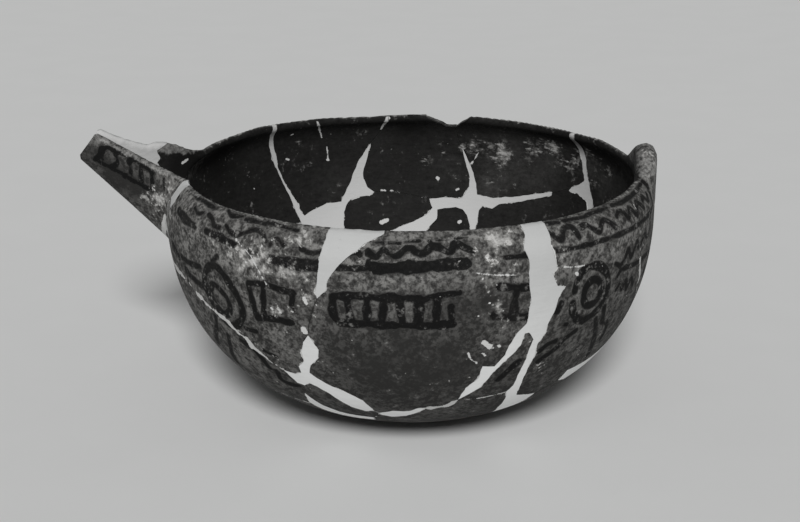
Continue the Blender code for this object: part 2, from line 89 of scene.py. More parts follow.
# Brush
BRUSH_GAIN = 1.5
BRUSH_SWING = 0.45
BRUSH_SWING_LENGTH = 5 * MM
STROKE_LIMIT = 6 * MM       # beyond this the distance to a stroke is of no use
BESIDE_SPOUT = 0.09         # Y of the places from which marks are cast on the spout
SPOUT_MARGIN = 4 * MM       # how far inside its root the skin still goes by the spout's lips

# Breaks
BREAK_GAP = 0.06 * MM
BREAK_OVERRUN = 1.3 * MM
BREAK_STEP = 1.6 * MM       # between the small turns of a break
BREAK_SWAY = 0.5 * MM
LONG_TURN = 5 * MM          # sizes of the wide and the narrow turns
SHORT_TURN = 2.2 * MM
CUT_FROM = 0.7              # where a cut through the wall starts and ends, in widest radii
CUT_TO = 1.2
SPOUT_CUT_TO = 1.8
STUB_CUT_TO = 1.3           # in half widths of the spout's root
SHARP_TURN = 0.2            # below this the two runs at a corner nearly cancel out
LEAST_MITRE = 0.4
MOST_STRETCH = 2.0          # of the cut's width at a corner
OVER_RIM = -35.0
SPOUT_BREAK_BEARING = 179.5
SPOUT_BREAK_DIPS = (OVER_RIM, -18, 0, 11.5)
STUB_BREAK_X = -0.1295
GLUE_STEP = 0.003           # radians between the samples of a break
EDGE_LIMIT = 6              # mm from a break beyond which its distance is of no use
FAR_AWAY = 1.0              # stands for the distance where there is no break of the stub

# Fracture lines as (bearing, dip) in degrees, seen from the middle of the bowl at its widest
# level: bearing round the axis from the lug, with the spout at 180 and the front at 270, and dip
# below that level. The first number of each is how much white glue shows along it.
CRACKS = {
    "under_spout": (0.1, [(187, 10.5), (183, 11.5), (SPOUT_BREAK_BEARING, 11.5)]),
    "left_back": (0.5, [(SPOUT_BREAK_BEARING, 11.5), (168, 13), (155, 15), (142, 17.5),
                        (130, 19.5), (123.5, 20.5)]),
    "left_diagonal": (1.05, [(187, 10.5), (194.5, 11.5), (203, 11.5), (208, 12), (211.5, 13.5),
                            (216, 15), (223, 17.5), (228.5, 20.5), (231, 23.5), (234.5, 26),
                            (237.5, 27.5)]),
    "front_left_hairline": (0.1, [(250, 6.5), (248.5, 10), (247.5, 13), (247, 15.5)]),
    "base_left_end": (0.4, [(259, 40.5), (260.5, 42)]),
    "base_left_turn": (0.3, [(260.5, 42), (259, 45), (257, 48.5)]),
    "base_front": (0.9, [(274, 38), (279.5, 37.5), (282.5, 34.5)]),
    "narrow_sherd_foot": (0.5, [(296, 34), (289, 35), (282.5, 34.5)]),
    "front_right_foot": (0.4, [(309.5, 39.5), (313, 36.5), (316, 34)]),
    "right_hairline_top": (0.2, [(331, OVER_RIM), (332, -3), (332.5, 1.5), (334, 6.5)]),
    "right_hairline_middle": (0.8, [(334, 6.5), (337, 12), (337, 14)]),
    "right_hairline_foot": (0.4, [(337, 14), (341, 20), (343, 26.5)]),
    "lug_sherd_foot": (0.3, [(343, 28), (352, 26), (365, 24.5), (378, 23), (388, 19)]),
    "back_right_tail": (0.4, [(390, 15.5), (388, 19)]),
    "back_right_lower": (0.4, [(388, 19), (390, 30), (387, 45)]),
    "back_dashes": (0.05, [(46.5, 10.5), (43, 9), (40.5, 8)]),
    "notch_crack": (0.05, [(75, 1), (76, -1), (77, -5), (77, OVER_RIM)]),
    "small_sherd_foot": (0.3, [(70, 25), (75, 28), (80, 30), (87, 29.5)]),
    "back_lower": (0.4, [(91, 31.5), (91, 38), (90, 44)]),
    "back_level": (0.12, [(100, 14), (94.5, 14), (89.5, 15), (84, 16)]),
    "back_rim": (0.1, [(101, 0.5), (97.5, -4), (96, -7), (96, OVER_RIM)]),
    "back_left_lower": (0.4, [(116, 29.5), (115, 37), (114, 44)]),
    "left_split": (0.4, [(182, 11.5), (181, 20), (177, 32), (176, 43)]),
    "base_ring": (0.5, [(237.5, 43), (225, 42), (212, 41), (200, 41), (188, 42.5), (176, 43),
                        (163, 44), (150, 44.5), (132, 43.5), (114, 44), (102, 43), (90, 44),
                        (75, 46), (60, 46), (43, 44.5), (27, 45), (16, 46.5), (5, 46.5),
                        (-5, 45), (-15, 45.5), (-25, 47), (-33, 46), (-49.5, 45)]),
}

FILLS = {
    "fill_spout_root": [
        (195.5, OVER_RIM), (196, -4.5), (193, -1), (188.5, 4), (187.5, 7), (187, 10.5),
        (192, 6.5), (192, 4), (196, -1), (200, -4.5), (198.5, OVER_RIM)],
    "fill_front_left": [
        (251, OVER_RIM), (251.5, -7), (251, -4), (250.5, -0.5), (250, 3), (249.5, 5), (250, 6.5),
        (252, 4.5), (252.5, 2), (253.5, 0.5), (255, -1.5), (256.5, -3), (258.5, -4.5), (260, -6),
        (264, -8), (264.5, OVER_RIM)],
    "fill_lower_left": [
        (247, 15.5), (248, 17), (249, 19), (248.5, 21.5), (246, 24), (245, 26.5), (246.5, 28),
        (248.5, 29.5), (251.5, 31), (254.5, 33), (257, 35), (258.5, 38.5), (259, 40.5),
        (256.5, 41.5), (252.5, 39.5), (250.5, 37), (248, 33.5), (245.5, 31.5), (243.5, 30.5),
        (241.5, 32), (239.5, 31.5), (237.5, 27.5), (240.5, 28), (242.5, 27), (242.5, 25),
        (244.5, 23), (244.5, 20), (245.5, 17.5)],
    "fill_base_left": [
        (239.5, 36), (242, 42), (246, 45.5), (251, 47), (257, 47), (257, 50.5), (250, 52),
        (243, 51), (238.5, 47), (237, 42)],
    "fill_base_front": [
        (260.5, 42), (264.5, 40), (269, 40), (272.5, 38), (274, 38), (272, 40.5), (268.5, 43.5),
        (264, 44.5), (261, 43.5)],
    "fill_front_right": [
        (295, OVER_RIM), (295, -6.5), (294, -4), (295, -1.5), (295, 1.5), (296, 7.5), (295.5, 13),
        (293.5, 15), (292, 18), (291.5, 20.5), (289.5, 23.5), (286.5, 23), (286, 27), (283.5, 30),
        (282.5, 34.5), (287.5, 30), (289.5, 25.5), (291.5, 22.5), (293.5, 20.5), (295, 18.5),
        (295.5, 15.5), (296.5, 15.5), (298, 17.5), (297.5, 20), (297.5, 22.5), (297, 25.5),
        (297, 31.5), (296, 34), (297.5, 37), (299, 44), (302.5, 51), (311, 48.5), (309.5, 39.5),
        (301, 37), (300, 35), (299, 29), (299, 25), (299.5, 22.5), (299.5, 19), (301, 16),
        (301, 14.5), (302.5, 11), (303, 8.5), (304.5, 6), (302.5, 5.5), (301, 2.5), (302, 1.5),
        (301.5, -0.5), (300.5, -3.5), (301, -6), (301.5, OVER_RIM)],
    "fill_right": [
        (316, 32), (322, 32), (328, 31.5), (334, 30.5), (339, 28), (343, 26.5), (343, 29.5),
        (339, 31.5), (334, 34), (328, 36), (321, 38), (316, 36)],
    "fill_back_right": [
        (38.5, OVER_RIM), (38.5, -6), (37.5, -3), (36.5, 0), (36, 2.5), (35, 4.5), (37, 6),
        (40, 7.5), (40.5, 8.5), (37.5, 8.5), (35, 9.5), (33.5, 9.5), (32.5, 11.5), (31, 15.5),
        (29.5, 15.5), (30.5, 11), (31, 9), (32.5, 7), (33.5, 4.5), (34.5, 2.5), (35, -1),
        (36, -4.5), (37, -6.5), (37, OVER_RIM)],
    "fill_back": [
        (84, 16), (79.5, 15.5), (74.5, 15.5), (73.5, 14), (72.5, 12), (72.5, 9.5), (74, 5),
        (75, 1), (73, 5), (71.5, 8), (70.5, 11), (70, 14), (65, 14.5), (57, 13), (52, 11.5),
        (46.5, 10), (46.5, 11), (52, 13), (57, 14.5), (63, 16), (65, 17.5), (68, 17), (69, 18.5),
        (69, 21.5), (69.5, 25), (70.5, 25), (72.5, 20), (74, 18.5), (76, 18), (79.5, 18.5),
        (81.5, 19), (81.5, 21.5), (84.5, 25), (87, 29.5), (91, 31.5), (96, 30), (97, 26),
        (93, 24), (88.5, 22.5), (84, 20), (83, 18.5)],
    "fill_back_left": [
        (132.5, OVER_RIM), (132.5, -6), (131, -0.5), (130, 3), (128, 7.5), (126, 12), (124.5, 17),
        (123.5, 20.5), (122, 24), (119, 29), (113, 30), (110.5, 26), (110, 22), (109.5, 19),
        (108.5, 17), (107, 15.5), (104.5, 15), (101.5, 15), (100, 14), (102, 12.5), (103, 10),
        (103, 8), (102, 5), (101, 0.5), (104, 4.5), (105.5, 7.5), (106.5, 10), (108.5, 13.5),
        (110, 16), (114.5, 16), (119.5, 17.5), (122, 18.5), (123, 17), (124.5, 13), (127, 8.5),
        (129, 3.5), (129.5, 0), (131, -5.5), (131, OVER_RIM)],
}
# How much glue shows along the fills, and along the breaks of the spout
FILL_GLUE = 0.35
SPOUT_BREAK_GLUE = 0.5
STUB_GLUE = 0.3

RIM_NOTCH = [(85.5, OVER_RIM), (85, -8), (82, -6.5), (79.5, -5), (76.5, -5), (74, -7), (72, -8.5),
             (72, OVER_RIM)]

# The break across the spout's far wall: how far it wanders from STUB_BREAK_X, and its height
STUB_BREAK = [
    (0.004, 0.170), (0.003, 0.1328), (-0.0020, 0.1298), (-0.0018, 0.1282), (-0.0008, 0.1262),
    (-0.0022, 0.1232), (-0.0005, 0.1195), (-0.001, 0.108), (-0.0025, 0.098), (-0.003, 0.080),
]

# Brush strokes on the outside of the bowl: half the width in mm, then points as (bearing in
# degrees, height in mm). The far side, which is hidden, repeats them in mirror image.
BRUSHWORK = {
    "upper dashes, left": [
        (1.5, [(204.5, 116.4), (209.3, 114.8), (214.7, 114.1)]),
        (1.3, [(219.1, 114.2), (224.6, 113.7), (229.8, 112.2)])],
    "rim patches, left": [
        (0.9, [(205.4, 125.9), (210.9, 124.6)]),
        (0.9, [(212.2, 124.8), (218.6, 124.0)]),
        (0.75, [(223.3, 125.0), (225.5, 123.7), (228.8, 124.3)]),
        (0.8, [(230.1, 123.7), (236.3, 123.7)]),
        (0.8, [(236.4, 124.4), (241.8, 123.7), (244.5, 123.3)])],
    "wave, left": [
        (0.85, [(211.5, 121.1), (214.0, 119.8), (216.0, 120.9)]),
        (0.95, [(217.9, 121.2), (220.2, 120.1), (221.5, 117.9), (223.7, 117.8)]),
        (0.9, [(225.5, 119.5), (228.0, 117.0), (231.2, 118.3), (233.8, 120.8), (236.2, 120.0),
               (237.8, 117.0)]),
        (0.9, [(238.8, 115.9), (240.2, 119.2), (242.1, 116.8)]),
        (0.8, [(246.2, 116.6), (248.8, 115.2), (251.1, 116.4)])],
    "double line, left": [
        (1.0, [(233.5, 111.6), (236.5, 110.8), (241.6, 110.4), (246.0, 111.0), (251.0, 111.2)]),
        (1.0, [(240.0, 108.7), (244.0, 107.9), (251.0, 108.2)])],
    "lower dashes, left": [
        (1.1, [(206.3, 93.9), (211.3, 93.6), (216.2, 94.8)]),
        (1.4, [(199.0, 95.5), (201.5, 94.0), (204.2, 92.5)]),
        (1.3, [(208.0, 88.4), (211.0, 86.4), (215.7, 84.6)]),
        (0.9, [(223.5, 104.0), (221.4, 100.4)])],
    "left oval": [
        (1.45, [(222.4, 98.8), (219.6, 96.2), (218.0, 91.7), (217.4, 85.6), (218.3, 79.6),
                (220.3, 74.6), (223.0, 69.4), (226.1, 69.6), (229.2, 75.0), (229.9, 82.6),
                (228.0, 90.0), (225.2, 95.9), (222.4, 98.8)]),
        (1.2, [(221.0, 88.6), (219.5, 84.2), (220.4, 78.4), (223.4, 74.3), (225.8, 78.3),
               (225.5, 83.4), (223.4, 87.2), (221.0, 88.6)])],
    "left ladder": [
        (1.2, [(232.9, 95.6), (237.9, 96.8), (241.5, 95.6), (244.6, 95.4)]),
        (1.2, [(232.9, 95.3), (233.6, 86.0), (234.4, 78.2)]),
        (1.2, [(234.4, 78.4), (239.2, 79.8), (243.4, 79.7)]),
        (1.1, [(237.0, 95.6), (236.3, 79.0)]),
        (1.1, [(244.4, 94.4), (243.8, 87.5)])],
    "curves, lower left": [
        (1.2, [(218.6, 70.2), (217.4, 64.0), (213.6, 56.0), (210.8, 49.4)]),
        (1.2, [(221.3, 61.6), (219.7, 54.6), (217.2, 46.8), (215.6, 40.7)]),
        (1.3, [(226.2, 61.6), (229.1, 59.2), (231.0, 55.6), (232.4, 48.8)]),
        (0.8, [(233.2, 60.0), (236.8, 57.9)]),
        (1.2, [(234.5, 47.4), (234.2, 42.6), (235.8, 40.4), (239.4, 40.4)]),
        (0.9, [(229.4, 70.1), (233.0, 70.2)])],
    "lower line, centre": [
        (1.0, [(252.5, 110.6), (256.0, 110.0), (261.0, 110.3)]),
        (2.0, [(261.5, 111.4), (264.0, 110.6), (267.6, 111.4), (271.0, 111.6), (276.1, 112.3),
               (281.2, 112.6)])],
    "wave, centre": [
        (0.9, [(256.6, 116.3), (258.2, 117.4), (259.3, 116.6)]),
        (1.2, [(261.0, 117.6), (262.8, 115.8), (264.1, 118.9), (266.2, 116.2), (267.6, 117.2),
               (269.3, 120.1), (271.0, 118.1), (272.4, 117.6), (274.2, 120.3), (276.2, 119.3),
               (277.9, 117.6), (279.1, 120.9), (280.8, 119.9), (282.7, 117.5)])],
    "thin line under the rim": [
        (0.5, [(262.2, 121.4), (264.2, 121.5)]), (0.5, [(265.2, 121.5), (267.6, 121.4)]),
        (0.5, [(268.6, 121.9), (271.6, 122.3)]), (0.4, [(273.6, 122.4), (276.4, 122.5)]),
        (0.4, [(279.4, 122.8), (281.9, 123.0)])],
    "middle ladder": [
        (1.4, [(253.5, 95.4), (253.3, 89.5), (253.7, 85.4), (255.1, 83.1)]),
        (1.4, [(254.9, 83.0), (259.5, 83.4), (264.1, 83.4), (271.0, 83.2), (278.6, 83.6)]),
        (1.4, [(253.6, 96.0), (258.6, 97.2), (263.5, 96.8), (268.0, 97.0), (271.4, 96.9)]),
        (1.2, [(256.5, 96.0), (256.8, 89.0), (257.6, 83.2)]),
        (1.3, [(260.8, 96.5), (260.6, 83.4)]),
        (1.2, [(264.3, 96.0), (263.7, 83.4)]),
        (1.2, [(267.4, 96.5), (268.1, 83.4)]),
        (1.4, [(271.6, 96.9), (271.3, 83.2)]),
        (1.3, [(275.2, 96.6), (275.1, 83.6)]),
        (1.1, [(278.2, 92.4), (278.5, 83.2)]),
        (1.1, [(272.3, 95.9), (275.0, 98.0), (279.9, 98.9)])],
    "right ladder": [
        (1.2, [(288.5, 100.2), (292.7, 98.6), (295.4, 98.0)]),
        (1.5, [(292.4, 97.7), (292.0, 91.0), (292.0, 84.9)]),
        (1.4, [(287.8, 86.2), (291.6, 84.3), (295.6, 83.2)])],
    "narrow sherd": [
        (1.2, [(291.6, 49.0), (293.4, 53.6), (295.6, 58.6)])],
    "rim patches, right": [
        (0.8, [(301.7, 124.6), (304.7, 124.2)]),
        (0.8, [(306.2, 124.5), (311.7, 123.9), (315.5, 124.3), (321.4, 124.2)]),
        (0.85, [(323.3, 124.4), (328.3, 123.8), (337.5, 123.9), (344.0, 124.2)])],
    "wave, right": [
        (1.05, [(301.4, 120.9), (303.6, 117.2), (304.6, 120.4), (305.7, 121.9), (307.4, 121.6),
                (308.4, 117.0)]),
        (1.0, [(310.0, 120.6), (311.6, 121.0), (313.3, 118.4), (315.0, 116.5), (316.0, 119.2),
               (317.3, 120.7), (318.8, 119.4), (320.6, 116.4)]),
        (1.0, [(322.4, 120.0), (324.0, 121.4), (325.8, 120.4), (326.9, 117.0), (328.4, 119.6),
               (329.5, 120.3), (331.3, 116.3), (333.0, 119.6), (334.5, 120.8), (336.6, 117.0)]),
        (1.0, [(337.6, 119.8), (339.4, 120.8), (341.2, 117.6), (343.2, 120.2)])],
    "lower line, right": [
        (0.95, [(289.5, 113.8), (293.0, 113.4), (297.0, 113.6), (301.4, 113.4), (306.8, 112.6),
                (312.3, 112.5), (319.3, 112.2), (328.3, 111.8), (337.3, 112.1), (343.8, 113.0),
                (345.4, 116.4), (345.6, 122.4), (345.2, 127.4)])],
    "right oval": [
        (1.5, [(308.8, 99.4), (311.0, 101.5), (314.3, 100.5), (317.6, 95.0), (318.7, 87.5),
               (317.9, 81.1), (315.7, 76.0), (312.0, 73.9), (309.2, 76.4)]),
        (1.3, [(309.2, 76.6), (307.8, 80.0), (307.2, 85.0)]),
        (1.1, [(307.4, 91.0), (307.8, 95.0), (308.8, 98.6)]),
        (1.5, [(311.4, 93.0), (313.5, 94.2), (315.9, 89.9), (316.0, 84.9), (314.2, 81.5),
               (311.5, 82.2), (310.4, 87.7), (311.4, 93.0)])],
    "zigzags, right": [
        (0.95, [(320.6, 98.2), (322.9, 96.0), (324.8, 98.8), (326.3, 102.1), (327.7, 97.4),
                (329.4, 100.4), (330.8, 103.2), (332.0, 99.6)]),
        (0.9, [(333.6, 100.4), (336.0, 104.0), (338.4, 101.0), (341.0, 104.6)]),
        (0.95, [(321.6, 90.0), (322.6, 92.2), (324.5, 93.4), (333.4, 91.6), (339.8, 91.2),
                (345.8, 89.6)]),
        (0.95, [(322.6, 83.6), (324.2, 86.1), (325.4, 82.0), (326.9, 85.9), (328.2, 80.6),
                (329.8, 85.2), (332.2, 80.2)]),
        (0.85, [(340.6, 84.8), (341.4, 79.8), (343.0, 83.4)])],
    "strokes, lower right": [
        (1.2, [(316.7, 71.6), (318.2, 65.2), (319.8, 58.2), (322.4, 46.8)]),
        (1.1, [(319.0, 76.4), (319.6, 72.0), (320.2, 68.2), (322.8, 65.8), (323.8, 62.4),
               (324.0, 55.9)]),
        (1.0, [(310.4, 69.1), (307.9, 66.6), (306.3, 63.4)]),
        (1.2, [(306.2, 62.8), (304.6, 60.4), (301.4, 56.4)]),
        (1.1, [(300.6, 62.2), (302.4, 65.2), (304.6, 66.0)]),
        (0.8, [(306.0, 74.4), (306.8, 74.2)]),
        (1.3, [(303.0, 83.0), (303.9, 86.4)])],
}
MIRROR_TURN = 369.0         # bearing + mirrored bearing of the repeat on the far side

# Brush strokes on both walls of the spout, as (x, height) in mm
SPOUT_BRUSHWORK = [
    (2.0, [(-155.9, 135.6), (-157.4, 133.0), (-158.9, 130.2)]),
    (1.2, [(-152.2, 136.6), (-149.2, 133.6), (-148.3, 129.6), (-151.2, 127.1), (-155.2, 128.6),
           (-156.4, 132.6), (-154.9, 135.5), (-152.2, 136.6)]),
    (1.15, [(-152.2, 136.6), (-147.0, 134.7), (-141.8, 132.5), (-137.1, 130.2), (-133.2, 128.5),
            (-128.5, 126.0)]),
    (1.7, [(-141.8, 132.0), (-141.6, 129.2)]),
    (1.0, [(-141.5, 129.0), (-141.4, 123.0)]),
    (1.5, [(-135.8, 129.5), (-135.8, 121.0)]),
    (1.4, [(-129.8, 126.2), (-129.6, 116.8)]),
    (0.9, [(-123.1, 124.6), (-123.2, 118.6)]),
    (1.5, [(-160.2, 130.0), (-155.2, 127.3), (-150.9, 125.6), (-143.1, 121.8), (-135.4, 118.6),
           (-130.0, 116.9)]),
]

# White chips, specks and scratches: half the width in mm, then points as (bearing, height in mm)
CHIPS_OUTSIDE = [
    (1.3, [(285.9, 72.6), (287.5, 69.8)]),
    (0.5, [(282.6, 67.4), (283.5, 63.4), (284.9, 61.2)]),
    (0.8, [(289.4, 69.9), (289.7, 69.3)]),
    (0.5, [(285.9, 66.6), (286.6, 65.2)]),
    (1.3, [(246.2, 77.2), (246.4, 76.0)]),
    (0.4, [(304.0, 104.6), (306.6, 103.6), (309.6, 103.0)]),
    (0.35, [(283.4, 107.7), (287.6, 106.0), (291.8, 104.9)]),
    (0.4, [(229.6, 115.0), (233.8, 109.5), (236.2, 102.4), (237.9, 97.0)]),
    (0.6, [(238.6, 85.4), (238.9, 85.0)]),
    (0.5, [(240.8, 84.2), (241.1, 83.8)]),
    (0.7, [(247.0, 93.4), (247.4, 91.0)]),
    (0.8, [(307.4, 100.2), (307.7, 99.6)]),
]
SPOUT_CHIPS = [(1.9, [(-123.6, 104.0), (-125.0, 98.0), (-126.8, 90.5)])]
# The most noticeable small white specks: (bearing, height in mm)
SPECKS = [
    (198.0, 73.8), (204.6, 76.2), (220.1, 70.2), (228.8, 65.0), (231.3, 58.9), (235.5, 52.3),
    (284.0, 86.8), (286.4, 92.8), (289.5, 88.1), (290.6, 83.7), (284.7, 104.7), (287.8, 101.2),
    (285.6, 114.2), (288.3, 119.1), (291.0, 125.0), (288.2, 69.0), (244.1, 85.5), (240.6, 85.2),
    (246.6, 97.3), (248.6, 103.1), (249.7, 90.9), (236.9, 114.8), (231.8, 111.0), (236.0, 108.5),
    (239.1, 118.1), (244.4, 117.5), (232.6, 105.6), (235.8, 100.1),
]
SPECK_WIDTH = 0.45
CHIPS_INSIDE = [
    (1.1, [(96.2, 123.9), (96.7, 121.8)]),
    (0.8, [(96.7, 121.8), (97.3, 119.6)]),
    (0.45, [(97.3, 119.6), (97.9, 116.3)]),
    (0.7, [(117.5, 124.5), (116.9, 121.9)]),
    (0.5, [(116.9, 121.9), (115.8, 117.6)]),
    (0.35, [(115.8, 117.6), (115.0, 113.7)]),
    (1.0, [(113.2, 100.2)]),
    (0.5, [(98.1, 79.4), (96.9, 79.3)]),
    (0.45, [(95.3, 79.0), (94.6, 79.0)]),
    (0.35, [(113.4, 107.3), (113.3, 103.9), (113.2, 100.5)]),
    (0.9, [(75.7, 81.0), (76.2, 80.2)]),
    (1.2, [(74.2, 62.8), (74.7, 62.2)]),
    (1.1, [(96.6, 62.8), (98.4, 61.6)]),
    (0.35, [(72.1, 96.9), (71.0, 100.4), (70.1, 103.8)]),
    (1.0, [(82.0, 86.9), (81.6, 86.3)]),
    (0.6, [(172.7, 121.2), (170.9, 122.2)]),
    (0.6, [(124.2, 118.3), (124.9, 117.9)]),
    (0.5, [(126.1, 103.5), (125.2, 102.9)]),
    (0.45, [(137.8, 90.9), (137.5, 90.4)]),
]

# Worn places: (bearing, height in mm, radius in mm, strength)
WEAR_OUTSIDE = [
    (233.8, 111.8, 6.0, 0.8), (237.0, 107.0, 5.5, 0.75), (242.3, 104.0, 5.0, 0.75),
    (228.7, 108.2, 5.0, 0.6), (239.1, 118.1, 4.0, 0.35), (246.3, 122.0, 5.5, 0.5),
    (243.6, 117.3, 5.0, 0.4), (238.6, 101.3, 4.5, 0.5), (232.3, 104.5, 5.5, 0.45),
    (248.0, 104.0, 4.5, 0.5), (222.0, 109.0, 5.0, 0.35),
    (240.3, 85.1, 4.0, 0.75), (244.4, 87.7, 3.0, 0.6), (248.0, 95.2, 3.0, 0.8),
    (248.8, 85.5, 2.5, 0.5), (195.1, 121.0, 3.0, 0.45), (200.3, 111.5, 3.0, 0.4),
    (286.6, 121.7, 4.0, 0.6), (289.0, 119.9, 4.0, 0.5), (291.3, 122.1, 3.5, 0.7),
    (286.7, 114.0, 5.0, 0.7), (283.8, 117.8, 3.5, 0.5), (285.5, 99.3, 4.0, 0.35),
    (288.7, 89.8, 4.5, 0.4), (290.2, 82.3, 3.0, 0.55), (286.4, 79.1, 4.5, 0.4),
    (282.3, 84.1, 3.0, 0.35), (291.7, 108.3, 3.5, 0.35), (302.7, 110.8, 5.0, 0.35),
    (307.6, 100.6, 2.2, 0.3), (302.5, 53.4, 4.5, 0.5), (318.9, 42.6, 3.0, 0.6),
    (355.0, 128.1, 8.0, 0.75), (352.7, 134.5, 6.0, 0.8), (4.0, 131.0, 8.0, 0.65),
    (202.0, 84.0, 4.0, 0.5), (206.5, 80.0, 4.0, 0.65), (212.0, 76.5, 3.0, 0.5),
    (227.0, 66.0, 3.0, 0.55), (232.0, 62.0, 3.0, 0.5), (236.0, 56.0, 2.5, 0.45),
    (88.0, 112.0, 6.0, 0.7), (80.0, 92.0, 5.0, 0.6), (140.0, 105.0, 6.0, 0.7),
    (112.0, 76.0, 5.0, 0.5), (40.0, 100.0, 5.0, 0.55), (60.0, 60.0, 6.0, 0.4),
]
# The same on the spout: (x, height, radius, strength)
SPOUT_WEAR = [
    (-127.0, 114.6, 4.5, 1.0), (-123.4, 110.5, 4.5, 0.9), (-131.8, 111.3, 3.5, 0.7),
    (-128.5, 106.8, 3.0, 0.8), (-120.5, 104.0, 3.5, 0.6), (-121.0, 120.5, 3.5, 0.7),
    (-136.0, 112.6, 2.5, 0.6), (-130.0, 102.0, 3.0, 0.6), (-118.5, 112.0, 4.0, 0.7),
]
SPOUT_TONES = [
    (-163.0, 133.0, 8.0, -1.1), (-152.0, 126.0, 10.0, -1.1), (-142.0, 118.0, 10.0, -1.1),
    (-150.0, 118.0, 8.0, -0.7), (-134.0, 122.0, 8.0, -0.8), (-130.0, 108.0, 8.0, -0.5),
    (-122.0, 112.0, 7.0, 0.1), (-126.0, 119.0, 6.0, -0.5), (-138.0, 113.0, 7.0, -0.6),
]
# Clay-coloured dirt on the plaster
STAINS = [(320.0, 46.0, 6.0, 1.2), (328.0, 46.5, 6.0, 1.2), (336.0, 50.0, 5.0, 1.0),
          (195.5, 112.0, 5.5, 2.0), (193.0, 107.0, 5.0, 1.5), (191.0, 102.0, 4.0, 1.2)]
# Where the brushwork outside is worn thin
FADED = [
    (214.0, 106.0, 22.0, 0.2), (226.0, 86.0, 20.0, 0.05), (212.0, 60.0, 24.0, 0.25),
    (236.0, 112.0, 12.0, 0.3), (252.0, 112.0, 10.0, 0.2), (322.0, 117.0, 16.0, 0.15),
    (338.0, 110.0, 18.0, 0.1), (303.0, 118.0, 10.0, 0.2), (330.0, 88.0, 12.0, 0.05),
    (318.0, 60.0, 16.0, 0.25), (290.0, 88.0, 8.0, 0.3), (140.0, 100.0, 40.0, 0.35),
    (60.0, 100.0, 50.0, 0.25),
]
WEAR_INSIDE = [
    (85.0, 96.1, 3.5, 0.55), (79.8, 100.5, 3.5, 0.6), (75.0, 105.1, 3.5, 0.55),
    (71.8, 104.9, 5.0, 0.6), (66.0, 108.0, 6.0, 0.5), (62.0, 106.9, 6.0, 0.4),
    (63.9, 101.4, 6.0, 0.45), (54.5, 108.3, 6.5, 0.65), (48.7, 112.3, 6.5, 0.65),
    (44.9, 108.4, 6.5, 0.7), (40.8, 104.9, 5.5, 0.5), (46.3, 114.5, 4.0, 0.45),
    (33.9, 114.3, 5.0, 0.6), (29.4, 111.1, 5.0, 0.55), (25.3, 108.2, 4.5, 0.45),
    (38.0, 110.0, 5.0, 0.5),
    (31.5, 97.6, 5.0, 0.45), (66.2, 86.7, 3.0, 0.45), (62.3, 83.3, 4.0, 0.5),
    (58.9, 87.3, 3.0, 0.45), (101.5, 69.2, 3.0, 0.5), (118.1, 109.6, 2.5, 0.5),
    (121.8, 111.0, 3.0, 0.45), (118.9, 98.9, 2.0, 0.5), (110.6, 84.2, 2.0, 0.4),
    (250.0, 96.0, 9.0, 0.5), (290.0, 80.0, 9.0, 0.5), (215.0, 100.0, 8.0, 0.45),
    (330.0, 95.0, 8.0, 0.5), (300.0, 30.0, 10.0, 0.5), (200.0, 40.0, 9.0, 0.45),
]
# Lighter (+) and darker (-) places of the wash inside: (bearing, height, radius, amount). The
# lighter places at bearings 17 to 34 are painted light: they lift the wash where the inside lies in
# shade.
TONES_AND_LIGHT_INSIDE = [
    (62.0, 100.0, 14.0, 0.7), (48.0, 104.0, 12.0, 0.55), (66.0, 84.0, 10.0, 0.6),
    (53.0, 88.0, 11.0, 0.4), (34.0, 108.0, 8.0, 0.7), (27.0, 102.0, 10.0, 0.6),
    (17.0, 106.0, 14.0, 0.8), (78.0, 92.0, 10.0, 0.35), (110.0, 84.0, 12.0, 0.2),
    (150.0, 112.0, 12.0, -0.3), (90.0, 116.0, 10.0, -0.2), (170.0, 118.0, 9.0, -0.6),
    (186.0, 116.0, 12.0, -0.5),
]
# The same for the clay outside
TONES = [
    (267.4, 55.0, 30.0, -0.85), (256.2, 66.0, 14.0, -0.45), (279.0, 62.0, 18.0, -0.75),
    (277.0, 93.0, 9.0, -0.55), (285.0, 92.0, 8.0, -0.7), (217.5, 48.0, 26.0, 0.55),
    (205.0, 70.0, 22.0, 0.5), (212.0, 106.0, 18.0, 0.55), (322.0, 104.0, 18.0, 0.1),
    (226.0, 100.0, 20.0, 0.2), (268.0, 74.0, 7.0, -0.6), (280.0, 90.0, 6.0, -0.6),
    (262.0, 60.0, 6.0, -0.4), (232.0, 95.0, 18.0, 0.4), (240.0, 66.0, 12.0, 0.2),
    (288.0, 90.0, 8.0, -0.6), (286.0, 96.0, 6.0, -0.5), (304.0, 95.0, 8.0, -0.4),
    (245.0, 98.0, 9.0, 0.5), (303.0, 109.0, 7.0, 0.3), (318.0, 70.0, 16.0, 0.1),
    (300.0, 28.0, 22.0, -0.7), (245.0, 20.0, 18.0, -0.2), (240.0, 72.0, 12.0, 0.35),
    (263.0, 104.0, 10.0, 0.2), (90.0, 60.0, 30.0, -0.5), (150.0, 70.0, 26.0, 0.45),
    (50.0, 90.0, 20.0, 0.3), (20.0, 60.0, 26.0, -0.3),
]
# Tone by height: (height in mm, tone)
TONE_BY_HEIGHT = [(0, -0.45), (45, -0.35), (75, -0.1), (98, 0.0), (104, 0.45), (130, 0.55)]
# Where the rim stands higher or lower than true: (bearing, half the width in degrees, rise in mm)
RIM_RISE = [(134.0, 12.0, 1.0), (172.0, 3.2, 3.0), (162.0, 4.0, -0.7), (90.0, 60.0, 0.35),
            (101.0, 7.0, -0.9), (26.0, 6.0, 0.8), (78.0, 9.0, 0.5), (214.0, 9.0, -0.2),
            (306.0, 8.0, -0.3)]
